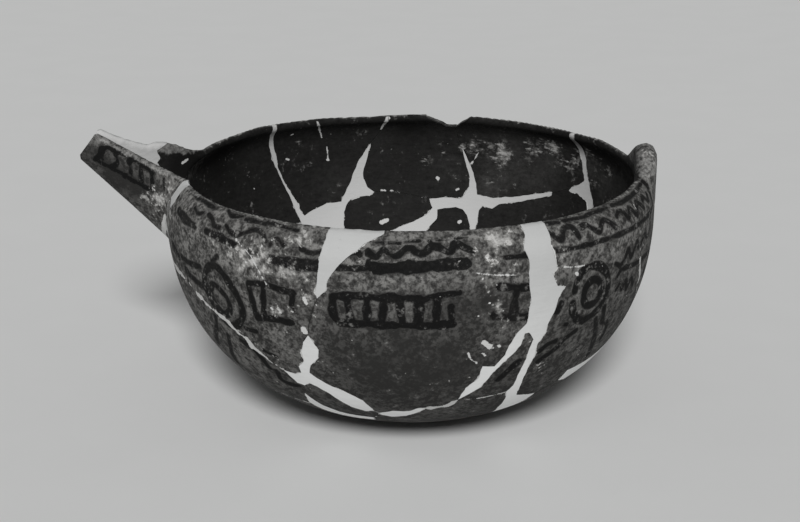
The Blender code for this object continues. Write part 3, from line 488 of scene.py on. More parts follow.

# Where hands have rubbed the clay pale, as ranges from no rubbing to full; the pale line on the
# rim's crest is partly this wear and partly a painted highlight
CREST_TURN = (0.4, 0.95)                # 1 on the very crest of a lip
CREST_DEPTH = (2.2 * MM, 0.6 * MM)      # below the rim
CREST_RUB_AND_HIGHLIGHT = 0.75
SPOUT_LIP_DEPTH = (0.6 * MM, 2.8 * MM)  # below the lip, from full rubbing to none
SPOUT_LIP_X = (-0.118, -0.110)          # the same along the spout
LUG_RISE = (1 * MM, 3 * MM)             # from this far below the rim to this far above it
LUG_DEGREES = 25
LUG_FACE_X = (0.106, 0.111)
LUG_RUB = 0.9

INNER_FROM = 0.6            # from this mark on, a point belongs to the inner face
NOISE_SPAN = 0.6            # turns a size of features into the noise's scale
NOISE_GAIN = 5.0            # spreads the noise from about -1 to 1

# Noises of the clay: (size of the features, detail, roughness), and how some are stretched
BROAD = (22 * MM, 3.0)
CLOUDY = (7 * MM, 3.0, 0.6)
SMALL = (2.6 * MM, 3.0, 0.65)
FINE = (1.1 * MM, 2.0, 0.7)
TURNED = (8 * MM, 3.0, 0.6)
TURNED_STRETCH = (1.0, 1.0, 0.22)
SCRATCHY = (2.0 * MM, 3.0, 0.7)
SCRATCH_STRETCH = (1.0, 1.0, 3.0)
SCRATCH_TILT = -0.6
STREAKS = (3.4 * MM, 4.0, 0.7)
STREAK_STRETCH = (1.0, 1.0, 0.3)
CLAY_SPECKS = (1.4 * MM, 1.0)
GLUE_PATCHES = (6 * MM, 2.0)

# How much each layer of the clay covers of what is under it, and the clay's relief and shine
PIT_COVER = 0.45
PAINT_COVER = 0.96
RUB_AND_HIGHLIGHT_COVER = 0.75
OUTER_HAZE, INNER_HAZE = 0.6, 0.35
BLEACH_COVER = 0.7
FLECK_COVER = 0.85
SCRAPE_COVER = 0.7
CHIP_COVER = 0.95
HAIRLINE_COVER = 0.65
GLUE_COVER = 0.95
CLAY_BUMP = 0.5 * MM
CLAY_SPECULAR = 0.10

# The plaster of the fills: its noises, and then its layers and its finish
PLASTER_BROAD = (18 * MM, 2.0)
KNIFE_DRAG = (6 * MM, 3.0, 0.6)
DRAG_STRETCH = (1.0, 1.0, 0.2)
PLASTER_CLOUDY = (5 * MM, 3.0, 0.6)
PLASTER_SMALL = (1.8 * MM, 3.0, 0.6)
PLASTER_PITS = (1.1 * MM, 1.0)
PAINTED_LIGHT_HEIGHTS = (30 * MM, 112 * MM)     # heights between which the painted light on the lower fills fades out
INNER_FILL_COVER = 0.9
PLASTER_ROUGHNESS = 0.85
PLASTER_BUMP = 0.3 * MM
PLASTER_SPECULAR = 0.1

# Sockets of a colour Mix node
MIX_SHARE, MIX_ONE, MIX_TWO, MIX_RESULT = 0, 6, 7, 2
WHITE = (1.0, 1.0, 1.0, 1.0)

# Stage
FLOOR_HALF = 4.0
FLOOR_DROP = 0.1 * MM
FLOOR_MOTTLE = (30 * MM, 3.0)
FLOOR_PALER = 1.015
FLOOR_ROUGHNESS = 0.95
FLOOR_BUMP = 0.02 * MM
CAMERA_PLACE = (-5.22 * MM, -795.47 * MM, 333.95 * MM)
CAMERA_DOWN = 18.12         # degrees
CAMERA_LENS = 72            # mm, as is the width of the sensor
CAMERA_SENSOR = 36
CAMERA_REACH = 20


# Sizes and colours that a user may change

def length(name, description, default):
    return bpy.props.FloatProperty(name=name, description=description, default=default,
                                   subtype="DISTANCE", unit="LENGTH", precision=4)


def number(name, description, default):
    return bpy.props.FloatProperty(name=name, description=description, default=default)


def colour(name, description, default):
    return bpy.props.FloatVectorProperty(name=name, description=description, default=default,
                                         subtype="COLOR", size=3, min=0, max=1)


class BowlForm(bpy.types.PropertyGroup):
    widest_radius: length("Widest radius", "Radius of the belly", 0.125)
    widest_height: length("Widest height", "Height of the widest level", 0.108)
    height: length("Height", "Height of the rim above the base", 0.1255)
    rim_radius: length("Rim radius", "Radius of the outer edge of the rim", 0.117)
    flat_radius: length("Flat radius", "Radius of the flat that it stands on", 0.022)
    belly_fullness: number("Belly fullness", "2 is a round belly, more is squarer", 2.3)
    shoulder_fullness: number("Shoulder fullness", "How late the shoulder turns in", 2.7)
    belly_wall: length("Belly wall", "Wall thickness at the belly", 0.0046)
    rim_wall: length("Rim wall", "Wall thickness at the rim", 0.0040)
    base_wall: length("Base wall", "Wall thickness at the base", 0.0065)


class SpoutForm(bpy.types.PropertyGroup):
    root_x: length("Root", "Where the lips leave the bowl", -0.104)
    tip_x: length("Tip", "Where the lips end", -0.160)
    root_half_width: length("Root half width", "Half the width at the root", 0.040)
    tip_half_width: length("Tip half width", "Half the width at the tip", 0.0068)
    flare: number("Flare", "How fast the trough narrows", 1.7)
    tip_height: length("Tip height", "Height of the lips at the tip", 0.143)
    lip_sweep: number("Lip sweep", "How late the lips rise", 1.7)
    keel_root_x: length("Keel root", "Where the keel leaves the bowl", -0.112)
    keel_root_z: length("Keel root height", "Height of the keel's root", 0.0737)
    keel_tip_x: length("Keel tip", "Far end of the keel", -0.1702)
    keel_tip_z: length("Keel tip height", "Height of the keel's far end", 0.1297)
    fullness: number("Fullness", "Shape of the trough's section", 1.8)
    wall: length("Wall", "Thickness of the trough's walls", 0.0044)
    floor: length("Floor", "Thickness of the trough's floor", 0.0052)


class LugForm(bpy.types.PropertyGroup):
    bearing: number("Bearing", "Where its middle is, in degrees from +X", -2.5)
    half_spread: number("Half spread", "Degrees to each side of its middle", 14.5)
    fullness: number("Fullness", "1 is a parabola, more is more pointed", 1.2)
    rise: length("Rise", "Height above the rim", 0.0122)
    radius: length("Radius", "Distance of its outer face from the axis", 0.1256)
    wall: length("Wall", "Thickness", 0.0108)
    foot_depth: length("Foot depth", "How far down its outer face reaches", 0.026)


class ClayLook(bpy.types.PropertyGroup):
    light_clay: colour("Light clay", "Clay where it is palest", (0.270, 0.266, 0.256))
    dark_clay: colour("Dark clay", "Clay where it is stained", (0.026, 0.0255, 0.0245))
    paint: colour("Paint", "Dark paint of the brushwork", (0.0045, 0.0045, 0.0045))
    inner_paint: colour("Inner paint", "Dark wash of the inside", (0.0075, 0.0073, 0.0070))
    # The wash is lifted towards this colour where it is thin, and also as painted light where the
    # inside lies in shade.
    thin_wash_and_painted_light: colour("Faded inner paint", "Wash where it is thin", (0.060, 0.059, 0.057))
    bare_clay: colour("Bare clay", "Clay where the surface is scratched off", (0.52, 0.515, 0.50))
    glue: colour("Glue", "Glue and plaster in the joins", (0.62, 0.62, 0.61))


class PlasterLook(bpy.types.PropertyGroup):
    plaster: colour("Plaster", "Smooth plaster of the fills", (0.52, 0.525, 0.52))
    # Paler plaster towards the foot is painted light that makes up for the shade on the lower
    # fills.
    low_plaster_painted_light: colour("Low plaster", "The fresher plaster near the foot", (0.84, 0.845, 0.84))
    # The fills inside get a colour of their own, set for the light inside: painted light, not
    # another plaster.
    inside_plaster_painted_light: colour("Inner plaster", "The fills as seen inside", (0.56, 0.56, 0.555))
    dusty_plaster: colour("Dusty plaster", "Plaster where dirt has settled", (0.42, 0.42, 0.415))
    stain: colour("Stain", "Clay-coloured dirt on the plaster", (0.13, 0.128, 0.122))


class StageLook(bpy.types.PropertyGroup):
    floor: colour("Floor", "Colour of the floor", (0.81, 0.815, 0.81))
    backdrop: colour("Backdrop", "Colour behind the floor", (0.503, 0.507, 0.503))
    lamp_strength: number("Lamp", "Strength of the lamp in front", 2.6)
    lamp_height: number("Lamp height", "Degrees above the floor", 36.0)
    lamp_spread: number("Lamp spread", "Width of the lamp, in degrees", 15.0)
    room_light: number("Room light", "Strength of the light from all sides", 0.12)


# Solids

def direction(bearing, dip):
    """Unit vector from the middle of the bowl at its widest level."""
    turn, drop = math.radians(bearing), math.radians(dip)
    return Vector((math.cos(drop) * math.cos(turn), math.cos(drop) * math.sin(turn),
                   -math.sin(drop)))


def middle(form):
    return Vector((0, 0, form.widest_height))


def make_object(name, bm):
    bmesh.ops.recalc_face_normals(bm, faces=bm.faces)
    bmesh.ops.triangulate(bm, faces=bm.faces)
    mesh = bpy.data.meshes.new(name)
    bm.to_mesh(mesh)
    bm.free()
    obj = bpy.data.objects.new(name, mesh)
    bpy.context.scene.collection.objects.link(obj)
    return obj


def settle_modifiers(obj):
    """Replaces the mesh by what its modifiers make of it."""
    bpy.context.view_layer.update()
    seen = obj.evaluated_get(bpy.context.evaluated_depsgraph_get())
    mesh = bpy.data.meshes.new_from_object(seen)
    obj.modifiers.clear()
    obj.data = mesh


def combine(target, tool, operation):
    """Boolean with the MANIFOLD solver, because EXACT leaves open edges at the spout's root."""
    modifier = target.modifiers.new(operation, "BOOLEAN")
    modifier.operation = operation
    modifier.solver = "MANIFOLD"
    modifier.object = tool
    settle_modifiers(target)
    bpy.data.objects.remove(tool)


def belly_line(form, belly_steps=48, shoulder_steps=12):
    """Outer line of the bowl as (radius, height), from the edge of the flat up to the lip."""
    first = math.asin((form.flat_radius / form.widest_radius) ** (form.belly_fullness / 2))
    power = 2 / form.belly_fullness
    depth = form.widest_height / math.cos(first) ** power
    line = []
    for step in range(belly_steps + 1):
        angle = first + (math.pi / 2 - first) * step / belly_steps
        drop = depth * max(math.cos(angle), 0.0) ** power
        line.append((form.widest_radius * math.sin(angle) ** power, form.widest_height - drop))
    turn_in = form.widest_radius - form.rim_radius
    slope = form.shoulder_fullness * turn_in / (form.height - form.widest_height)
    lean = math.sin(math.atan(slope))
    rise_to_lip = form.height - form.rim_wall / 2 * (1 - lean) - form.widest_height
    for step in range(1, shoulder_steps + 1):
        rise = step / shoulder_steps
        line.append((form.widest_radius - turn_in * rise ** form.shoulder_fullness,
                     form.widest_height + rise_to_lip * rise))
    return line


def wall_at(form, height):
    if height < form.widest_height:
        share = (height / form.widest_height) ** 0.5
        return form.base_wall + (form.belly_wall - form.base_wall) * share
    share = (height - form.widest_height) / (form.height - form.widest_height)
    return form.belly_wall + (form.rim_wall - form.belly_wall) * share


def inward(line, index):
    before = line[max(index - 1, 0)]
    after = line[min(index + 1, len(line) - 1)]
    run = Vector((after[0] - before[0], after[1] - before[1])).normalized()
    return Vector((-run.y, run.x))


def inner_line(form, setback=0.0):
    outer = belly_line(form)
    line = []
    for index, (radius, height) in enumerate(outer):
        shift = inward(outer, index) * (wall_at(form, height) - setback)
        line.append((radius + shift.x, height + shift.y))
    return line


def lip_line(form, steps=10):
    """The rounded lip, between the outer and the inner line."""
    outer = belly_line(form)
    tip = len(outer) - 1
    across = inward(outer, tip)
    along = Vector((across.y, -across.x))
    centre = Vector(outer[tip]) + across * form.rim_wall / 2
    lip = []
    for step in range(1, steps):
        angle = math.pi * step / steps
        point = centre + (along * math.sin(angle) - across * math.cos(angle)) * form.rim_wall / 2
        lip.append((point.x, point.y))
    return lip


def revolve(line, steps=216):
    bm = bmesh.new()
    turns = [2 * math.pi * step / steps for step in range(steps)]
    rings = []
    for radius, height in line:
        if radius < ON_AXIS:
            rings.append([bm.verts.new((0, 0, height))])
        else:
            rings.append([bm.verts.new((radius * math.cos(turn), radius * math.sin(turn), height))
                          for turn in turns])
    for low, high in zip(rings, rings[1:]):
        for step in range(steps):
            after = (step + 1) % steps
            corners = [low[step % len(low)], low[after % len(low)],
                       high[after % len(high)], high[step % len(high)]]
            bm.faces.new(list(dict.fromkeys(corners)))
    return bm


def loft(sections, ring=False):
    """Solid through a row of closed sections; a ring closes on its first section."""
    bm = bmesh.new()
    rings = [[bm.verts.new(point) for point in section] for section in sections]
    pairs = list(zip(rings, rings[1:]))
    if ring:
        pairs.append((rings[-1], rings[0]))
    for one, two in pairs:
        for index in range(len(one)):
            after = (index + 1) % len(one)
            bm.faces.new((one[index], one[after], two[after], two[index]))
    if not ring:
        bm.faces.new(rings[0][::-1])
        bm.faces.new(rings[-1])
    return bm


def bowl_outside(form):
    lip = lip_line(form)
    return make_object("vessel", revolve([(0, 0)] + belly_line(form) + lip + [(0, lip[-1][1])]))


def bowl_hollow(form, setback=0.0):
    inner = inner_line(form, setback)
    mouth = lip_line(form)[-1]
    top = form.height + MOUTH_HEADROOM
    line = [(0, inner[0][1])] + inner + [mouth, (mouth[0], top), (0, top)]
    return make_object("hollow", revolve(line))


def trough_line(form, spout, share, wall, floor, steps=28):
    """One section of the trough, lip to lip; share runs from 0 at the root to 1 at the tip."""
    flare = max(1 - share, 0.0) ** spout.flare
    half = spout.tip_half_width + (spout.root_half_width - spout.tip_half_width) * flare - wall
    sweep = max(share, 0.0) ** spout.lip_sweep
    lip = Vector((spout.root_x + (spout.tip_x - spout.root_x) * share, 0,
                  form.height + (spout.tip_height - form.height) * sweep))
    keel_root = Vector((spout.keel_root_x, 0, spout.keel_root_z))
    keel = keel_root + (Vector((spout.keel_tip_x, 0, spout.keel_tip_z)) - keel_root) * share
    keel += (lip - keel).normalized() * floor
    power = 2 / spout.fullness
    points = []
    for step in range(steps + 1):
        angle = math.pi * (step / steps - 0.5)
        side = math.copysign(abs(math.sin(angle)) ** power, angle)
        points.append(lip.lerp(keel, max(math.cos(angle), 0.0) ** power)
                      + Vector((0, half * side, 0)))
    return points


def spout_outside(form, spout, stations=24, lead_in=4):
    sections = []
    crown = Vector((0, 0, spout.wall / 4))
    for station in range(-lead_in, stations + 1):
        share = station / stations
        outer = trough_line(form, spout, share, 0, 0)
        inner = trough_line(form, spout, share, spout.wall, spout.floor)
        near_lip = (outer[0] + inner[0]) / 2 + crown
        far_lip = (outer[-1] + inner[-1]) / 2 + crown
        sections.append(outer + [far_lip, inner[-1], inner[0], near_lip])
    return make_object("spout", loft(sections))


def spout_channel(form, spout, stations=24, lead_in=8, run_out=5):
    sections = []
    headroom = Vector((0, 0, form.widest_radius / 2))
    for station in range(-lead_in, stations + run_out + 1):
        inner = trough_line(form, spout, station / stations, spout.wall, spout.floor)
        sections.append(inner + [inner[-1] + headroom, inner[0] + headroom])
    return make_object("channel", loft(sections))


def rim_lug(form, lug, stations=24):
    sections = []
    inner_face = lug.radius - lug.wall
    foot = form.height - lug.foot_depth
    for station in range(stations + 1):
        across = 2 * station / stations - 1
        swell = (1 - across ** 2) ** lug.fullness
        top = form.height - form.rim_wall / 2 + (lug.rise + form.rim_wall / 2) * swell
        face = form.rim_radius + (lug.radius - form.rim_radius) * swell ** 0.5
        thick = face - inner_face
        # The section, from the foot up the outer face, over the top and down the inner face
        line = [(inner_face + thick / 4, foot), (face - thick / 8, foot), (face, foot + thick),
                (face, top - thick * 0.45), (face - thick * 0.15, top - thick * 0.12),
                (face - thick * 0.4, top), (inner_face + thick * 0.25, top - thick * 0.08),
                (inner_face, top - thick * 0.35), (inner_face, foot + thick)]
        turn = math.radians(lug.bearing + across * lug.half_spread)
        sections.append([Vector((radius * math.cos(turn), radius * math.sin(turn), height))
                         for radius, height in line])
    return make_object("lug", loft(sections))


# Skin of the vessel

def vertex_array(mesh):
    points = np.empty(len(mesh.vertices) * 3)
    mesh.vertices.foreach_get("co", points)
    return points.reshape(-1, 3)


def edge_array(mesh):
    edges = np.empty(len(mesh.edges) * 2, dtype=np.int32)
    mesh.edges.foreach_get("vertices", edges)
    return edges.reshape(-1, 2)


def average_of_neighbours(values, edges):
    columns = values.reshape(len(values), -1)
    count = np.bincount(edges.ravel(), minlength=len(values)).clip(1)
    result = np.empty_like(columns)
    for axis in range(columns.shape[1]):
        sums = np.bincount(edges[:, 0], columns[edges[:, 1], axis], len(values))
        sums += np.bincount(edges[:, 1], columns[edges[:, 0], axis], len(values))
        result[:, axis] = sums / count
    return result.reshape(values.shape)


def smooth_step(values, low, high):
    share = ((values - low) / (high - low)).clip(0, 1)
    return share * share * (3 - 2 * share)


def grain(points, size, seed):
    """Smooth noise between -1 and 1 with features of a given size."""
    offset = Vector([seed * step for step in SEED_STEPS])
    return np.array([noise.noise(Vector(point) / size + offset) for point in points])


def layered_grain(points, layers, mean=0.0):
    """Sum of noises, each (amount, size of its features, seed), on top of a mean."""
    total = mean
    for amount, size, seed in layers:
        total = total + amount * grain(points, size, seed)
    return total


def true_up(points, edges, exact):
    """Puts the even skin back on the exact shape, and smooths the joins where clay was luted on."""
    found = [exact.find_nearest(point) for point in points]
    points = np.array([place for place, _, _, _ in found])
    ways = np.array([way for _, way, _, _ in found])
    pull = average_of_neighbours(points, edges) - points
    join = smooth_step((pull * ways).sum(axis=1), *JOIN_HOLLOW)
    join *= smooth_step(points[:, 0], OPEN_TROUGH_X - OPEN_TROUGH_FADE, OPEN_TROUGH_X)
    for _ in range(JOIN_SPREAD):
        join = np.maximum(join, average_of_neighbours(join, edges))
    for _ in range(JOIN_ROUNDS):
        pull = average_of_neighbours(points, edges) - points
        points = points + pull * JOIN_SOFTNESS * join[:, None]
    return points


def hand_relief(points, form):
    """The small unevenness of handwork, inwards so that no size grows, and an uneven rim."""
    towards = np.array(middle(form)) - points
    reach = np.linalg.norm(towards, axis=1).clip(1e-6)
    ways = towards / reach[:, None]
    around = ways * form.widest_radius
    depth = layered_grain(around, WALL_RELIEF, WALL_DEPTH)
    depth *= smooth_step(points[:, 2], *FOOT_FADE)
    moved = points + ways * (depth.clip(LEAST_DEPTH, None) * MM)[:, None]
    bearing = np.degrees(np.arctan2(points[:, 1], points[:, 0])) % 360
    rise = layered_grain(around, RIM_RELIEF) - RIM_SETTLE
    for place, spread, height in RIM_RISE:
        rise += height * np.exp(-((bearing - place) / spread) ** 2)
    fade_from, full_at = (form.height - depth_below for depth_below in RIM_FADE)
    near_rim = smooth_step(points[:, 2], fade_from, full_at)
    near_rim *= smooth_step(points[:, 0], *SPOUT_RIM_FADE)
    moved[:, 2] += rise * MM * near_rim
    return moved


def tree_of(mesh):
    return BVHTree.FromPolygons([v.co for v in mesh.vertices],
                                [p.vertices[:] for p in mesh.polygons])


def point_on_bowl(form, bearing, height, inside=False):
    """The point of the outer or inner face at a bearing in degrees and a height in mm."""
    line = inner_line(form) if inside else belly_line(form)
    heights = [point[1] for point in line]
    radii = [point[0] for point in line]
    radius = float(np.interp(height * MM, heights, radii))
    turn = math.radians(bearing)
    return Vector((radius * math.cos(turn), radius * math.sin(turn), height * MM))


def curved(points, parts=6):
    """The smooth curve that runs through a row of points; a closed row stays closed."""
    if len(points) < 3:
        return list(points)
    closed = points[0] == points[-1]
    before = points[-2] if closed else points[0]
    after = points[1] if closed else points[-1]
    row = [np.array(point, float) for point in [before] + list(points) + [after]]
    result = []
    for one, two, three, four in zip(row, row[1:], row[2:], row[3:]):
        for part in range(parts):
            share = part / parts
            bend = (2 * one - 5 * two + 4 * three - four) * share ** 2
            bend = bend + (3 * two - one - 3 * three + four) * share ** 3
            result.append(tuple((2 * two + (three - one) * share + bend) / 2))
    return result + [tuple(points[-1])]


def along(points, step=0.3 * MM):
    """Evenly spaced points along a line."""
    result = []
    for one, two in zip(points, points[1:]):
        count = max(1, math.ceil((two - one).length / step))
        result += [one.lerp(two, index / count) for index in range(count)]
    return result + [points[-1]]


def brush_width(width, point):
    """Half the width of a stroke in metres, which varies with the pressure of the brush."""
    return width * MM * (1 + BRUSH_SWING * noise.noise(point / BRUSH_SWING_LENGTH))


def sampled_strokes(form, strokes, tree, inside=False):
    """Every stroke as (point on the skin, half width in metres)."""
    samples = []
    for width, points in strokes:
        row = [point_on_bowl(form, *pair, inside) for pair in curved(points)]
        for point in along(row):
            samples.append((tree.find_nearest(point)[0], brush_width(width, point)))
    return samples


def beside_spout(x, height, side):
    """A point beside the spout, with x and height in mm."""
    return Vector((x * MM, side * BESIDE_SPOUT, height * MM))


def cast_on_spout(tree, point, side):
    """The place on the skin straight across from a point beside the spout, if there is one."""
    return tree.ray_cast(point, Vector((0, -side, 0)))[0]


def spout_samples(strokes, tree):
    """The same as sampled_strokes for strokes on the spout, on both of its walls."""
    samples = []
    for width, points in strokes:
        for side in (-1, 1):
            for point in along([beside_spout(*pair, side) for pair in curved(points)]):
                hit = cast_on_spout(tree, point, side)
                if hit is not None and hit.y * side > 0:
                    samples.append((hit, brush_width(width, point)))
    return samples


def brush_samples(form, tree):
    strokes = [(width * BRUSH_GAIN, points) for motif in BRUSHWORK.values()
               for width, points in motif]
    mirrored = [(width, [(MIRROR_TURN - bearing, height) for bearing, height in points])
                for width, points in strokes]
    samples = sampled_strokes(form, strokes + mirrored, tree)
    return samples + spout_samples(SPOUT_BRUSHWORK, tree)


def chip_samples(form, tree):
    specks = [(SPECK_WIDTH, [speck]) for speck in SPECKS]
    outside = sampled_strokes(form, CHIPS_OUTSIDE + specks, tree)
    inside = sampled_strokes(form, CHIPS_INSIDE, tree, True)
    return outside + inside + spout_samples(SPOUT_CHIPS, tree)


def tree_of_points(points):
    """Finds the nearest of a row of points."""
    tree = KDTree(len(points))
    for index, point in enumerate(points):
        tree.insert(point, index)
    tree.balance()
    return tree


def depth_in_strokes(points, samples):
    """How deep each point lies in the nearest stroke, in mm: above 0 inside it, below 0 outside."""
    tree = tree_of_points([point for point, _ in samples])
    depths = np.empty(len(points))
    for row, point in enumerate(points):
        _, index, gap = tree.find(point)
        depths[row] = max(samples[index][1] - gap, -STROKE_LIMIT)
    return depths / MM


def refine_near(obj, samples, reach, longest):
    """Halves the edges that lie near a stroke."""
    bm = bmesh.new()
    bm.from_mesh(obj.data)
    depths = depth_in_strokes([vert.co for vert in bm.verts], samples)
    bm.verts.index_update()
    near = [edge for edge in bm.edges if edge.calc_length() > longest
            and max(depths[vert.index] for vert in edge.verts) > -reach / MM]
    bmesh.ops.subdivide_edges(bm, edges=near, cuts=1, use_grid_fill=True)
    bm.to_mesh(obj.data)
    bm.free()


def lip_height(points, form, spout):
    """Height of the spout's lips beside each point."""
    rise = ((points[:, 0] - spout.root_x) / (spout.tip_x - spout.root_x)).clip(0, 1)
    return form.height + (spout.tip_height - form.height) * rise ** spout.lip_sweep


def face_inwards(mesh, form, spout):
    """For each vertex 0 where the skin faces out, 1 where it faces in, between them on a lip."""
    points = vertex_array(mesh)
    normals = np.empty(len(mesh.vertices) * 3)
    mesh.vertex_normals.foreach_get("vector", normals)
    normals = normals.reshape(-1, 3)
    away = points - np.array(middle(form))
    in_spout = points[:, 0] < spout.root_x + SPOUT_MARGIN
    in_spout &= points[:, 2] > spout.keel_root_z
    lips = lip_height(points, form, spout)
    from_lips = np.stack([np.zeros(len(points)), points[:, 1], points[:, 2] - lips], axis=1)
    away[in_spout] = from_lips[in_spout]
    away /= np.linalg.norm(away, axis=1).clip(1e-9)[:, None]
    return 0.5 - 0.5 * (away * normals).sum(axis=1)


# Breaks

def rays_to(line):
    return [direction(*point) for point in line]


def wandering(rays, ring, radius):
    """Adds to a fracture line the small turns of a real break, between its measured points."""
    result = []
    pairs = list(zip(rays, rays[1:]))
    if ring:
        pairs.append((rays[-1], rays[0]))
    for one, two in pairs:
        count = max(1, round((two - one).length * radius / BREAK_STEP))
        for index in range(count):
            share = index / count
            point = one.lerp(two, share).normalized()
            across = point.cross(two - one).normalized()
            calm = (4 * share * (1 - share)) ** 0.5
            sway = noise.noise(point * radius / LONG_TURN)
            sway += noise.noise(point * radius / SHORT_TURN) / 3
            sway *= BREAK_SWAY * calm
            result.append((point + across * (sway / radius)).normalized())
    if not ring:
        result.append(rays[-1])
    return result


def ribbon(form, rays, ring, reach):
    """Thin radial wall along a fracture line."""
    near, far = form.widest_radius * CUT_FROM, form.widest_radius * reach
    count = len(rays)
    rays = list(rays)
    if not ring:
        overrun = BREAK_OVERRUN / form.widest_radius
        rays[0] = (rays[0] + (rays[0] - rays[1]).normalized() * overrun).normalized()
        rays[-1] = (rays[-1] + (rays[-1] - rays[-2]).normalized() * overrun).normalized()
    centre = middle(form)
    sections = []
    for index, ray in enumerate(rays):
        before = rays[index - 1] if ring or index else ray
        after = rays[(index + 1) % count] if ring or index < count - 1 else ray
        come, leave = ray - before, after - ray
        come = come.normalized() if come.length else leave.normalized()
        leave = leave.normalized() if leave.length else come
        run = come + leave
        run = run.normalized() if run.length > SHARP_TURN else come
        stretch = min(1 / max(run.dot(come), LEAST_MITRE), MOST_STRETCH)
        side = ray.cross(run).normalized() * (BREAK_GAP / 2 * stretch)
        sections.append([centre + ray * near - side, centre + ray * near + side,
                         centre + ray * far + side, centre + ray * far - side])
    return make_object("break", loft(sections, ring))


def stub_break(spout):
    """Thin upright cut across the spout's far wall."""
    lean = math.tan(math.radians(180 - SPOUT_BREAK_BEARING))
    outside = spout.root_half_width * STUB_CUT_TO
    sections = []
    for wander, height in STUB_BREAK:
        x = STUB_BREAK_X + wander
        inside = -x * lean - BREAK_OVERRUN
        sections.append([Vector((x - BREAK_GAP / 2, inside, height)),
                         Vector((x + BREAK_GAP / 2, inside, height)),
                         Vector((x + BREAK_GAP / 2, outside, height)),
                         Vector((x - BREAK_GAP / 2, outside, height))])
    return make_object("break", loft(sections))


def rim_notch(form):
    rays = wandering(rays_to(RIM_NOTCH), True, form.widest_radius)
    near = [middle(form) + ray * form.widest_radius * CUT_FROM for ray in rays]
    far = [middle(form) + ray * form.widest_radius * CUT_TO for ray in rays]
    return make_object("notch", loft([near, far]))


def all_breaks(form):
    """Every break as (rays, whether it is a ring, reach, glue that shows)."""
    radius = form.widest_radius
    breaks = []
    for glue, line in CRACKS.values():
        breaks.append((wandering(rays_to(line), False, radius), False, CUT_TO, glue))
    for outline in FILLS.values():
        breaks.append((wandering(rays_to(outline), True, radius), True, CUT_TO, FILL_GLUE))
    spout_line = rays_to((SPOUT_BREAK_BEARING, dip) for dip in SPOUT_BREAK_DIPS)
    breaks.append((spout_line, False, SPOUT_CUT_TO, SPOUT_BREAK_GLUE))
    return breaks


def distance_to_breaks(points, form):
    """For each point the distance to the nearest break in mm, and how much glue shows there."""
    rays = []
    for line, ring, _, glue in all_breaks(form):
        closed = line + line[:1] if ring else line
        rays += [(ray.normalized(), glue) for ray in along(closed, GLUE_STEP)]
    tree = tree_of_points([ray for ray, _ in rays])
    away = points - np.array(middle(form))
    reach = np.linalg.norm(away, axis=1).clip(1e-6)
    gaps = np.empty(len(points))
    glues = np.empty(len(points))
    for row, way in enumerate(away / reach[:, None]):
        _, index, gap = tree.find(way)
        gaps[row] = gap * reach[row]
        glues[row] = rays[index][1]
    upwards = STUB_BREAK[::-1]
    wander = np.interp(points[:, 2], [height for _, height in upwards], [x for x, _ in upwards])
    stub = np.where(points[:, 1] > 0, abs(points[:, 0] - (STUB_BREAK_X + wander)), FAR_AWAY)
    glues = np.where(stub < gaps, STUB_GLUE, glues)
    gaps = np.minimum(stub, gaps)
    return (gaps / MM).clip(0, EDGE_LIMIT), glues


def spots(points, places):
    """Sum of soft round spots, each (point, radius in mm, strength)."""
    total = np.zeros(len(points))
    for place, radius, strength in places:
        gap = np.linalg.norm(points - np.array(place), axis=1)
        total += strength * np.exp(-(gap / (radius * MM)) ** 2)
    return total


# The vessel is made once and kept for the operators that finish its pieces
VESSEL = {}


def whole_skin(form, spout, lug_form):
    vessel = bowl_outside(form)
    combine(vessel, spout_outside(form, spout), "UNION")
    combine(vessel, spout_channel(form, spout), "DIFFERENCE")
    combine(vessel, bowl_hollow(form), "DIFFERENCE")
    lug = rim_lug(form, lug_form)
    combine(lug, bowl_hollow(form, LUG_SETBACK), "DIFFERENCE")
    combine(vessel, lug, "UNION")
    exact = tree_of(vessel.data)
    remesh = vessel.modifiers.new("even skin", "REMESH")
    remesh.mode = "VOXEL"
    remesh.voxel_size = SKIN_CELL
    settle_modifiers(vessel)
    points = true_up(vertex_array(vessel.data), edge_array(vessel.data), exact)
    points = hand_relief(points, form)
    vessel.data.vertices.foreach_set("co", points.ravel())
    vessel.data.update()
    return vessel


def broken_apart(vessel, form, spout):
    """Breaks the vessel along all its breaks into loose pieces."""
    breaks = None
    for rays, ring, reach, _ in all_breaks(form):
        wall = ribbon(form, rays, ring, reach)
        if breaks is None:
            breaks = wall
        else:
            combine(breaks, wall, "UNION")
    combine(breaks, stub_break(spout), "UNION")
    combine(vessel, rim_notch(form), "DIFFERENCE")
    combine(vessel, breaks, "DIFFERENCE")
    bpy.ops.object.select_all(action="DESELECT")
    bpy.context.view_layer.objects.active = vessel
    vessel.select_set(True)
    bpy.ops.mesh.separate(type="LOOSE")
    return list(bpy.context.selected_objects)


def named_pieces(islands):
    """The pieces by the name of the CAD node that each lies on; crumbs are thrown away."""
    points, polygons, owners = [], [], []
    for name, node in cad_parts.items():
        base = len(points)
        points += [vert.co for vert in node.data.vertices]
        polygons += [[base + index for index in poly.vertices] for poly in node.data.polygons]
        owners += [name] * len(node.data.polygons)
    tree = BVHTree.FromPolygons(points, polygons)
    pieces = {}
    for island in sorted(islands, key=lambda item: -len(item.data.vertices)):
        verts = island.data.vertices
        step = max(1, len(verts) // PIECE_VOTES)
        votes = Counter(owners[tree.find_nearest(verts[index].co)[2]]
                        for index in range(0, len(verts), step))
        name = votes.most_common(1)[0][0]
        if name in pieces:
            bpy.data.objects.remove(island)
        else:
            pieces[name] = island
    missing = sorted(set(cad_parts) - set(pieces))
    if missing:
        raise RuntimeError(f"the broken vessel has no piece for {missing}")
    return pieces


def share_inside(points, skin, neighbours=3, least_gap=1e-5):
    """For each point 0 on the outer face, 1 on the inner, from the unbroken skin around it."""
    inwards = skin["inwards"]
    shares = np.empty(len(points))
    for row, point in enumerate(points):
        found = skin["tree"].find_n(point, neighbours)
        shares[row] = (sum(inwards[index] / (gap + least_gap) for _, index, gap in found)
                       / sum(1 / (gap + least_gap) for _, _, gap in found))
    return shares


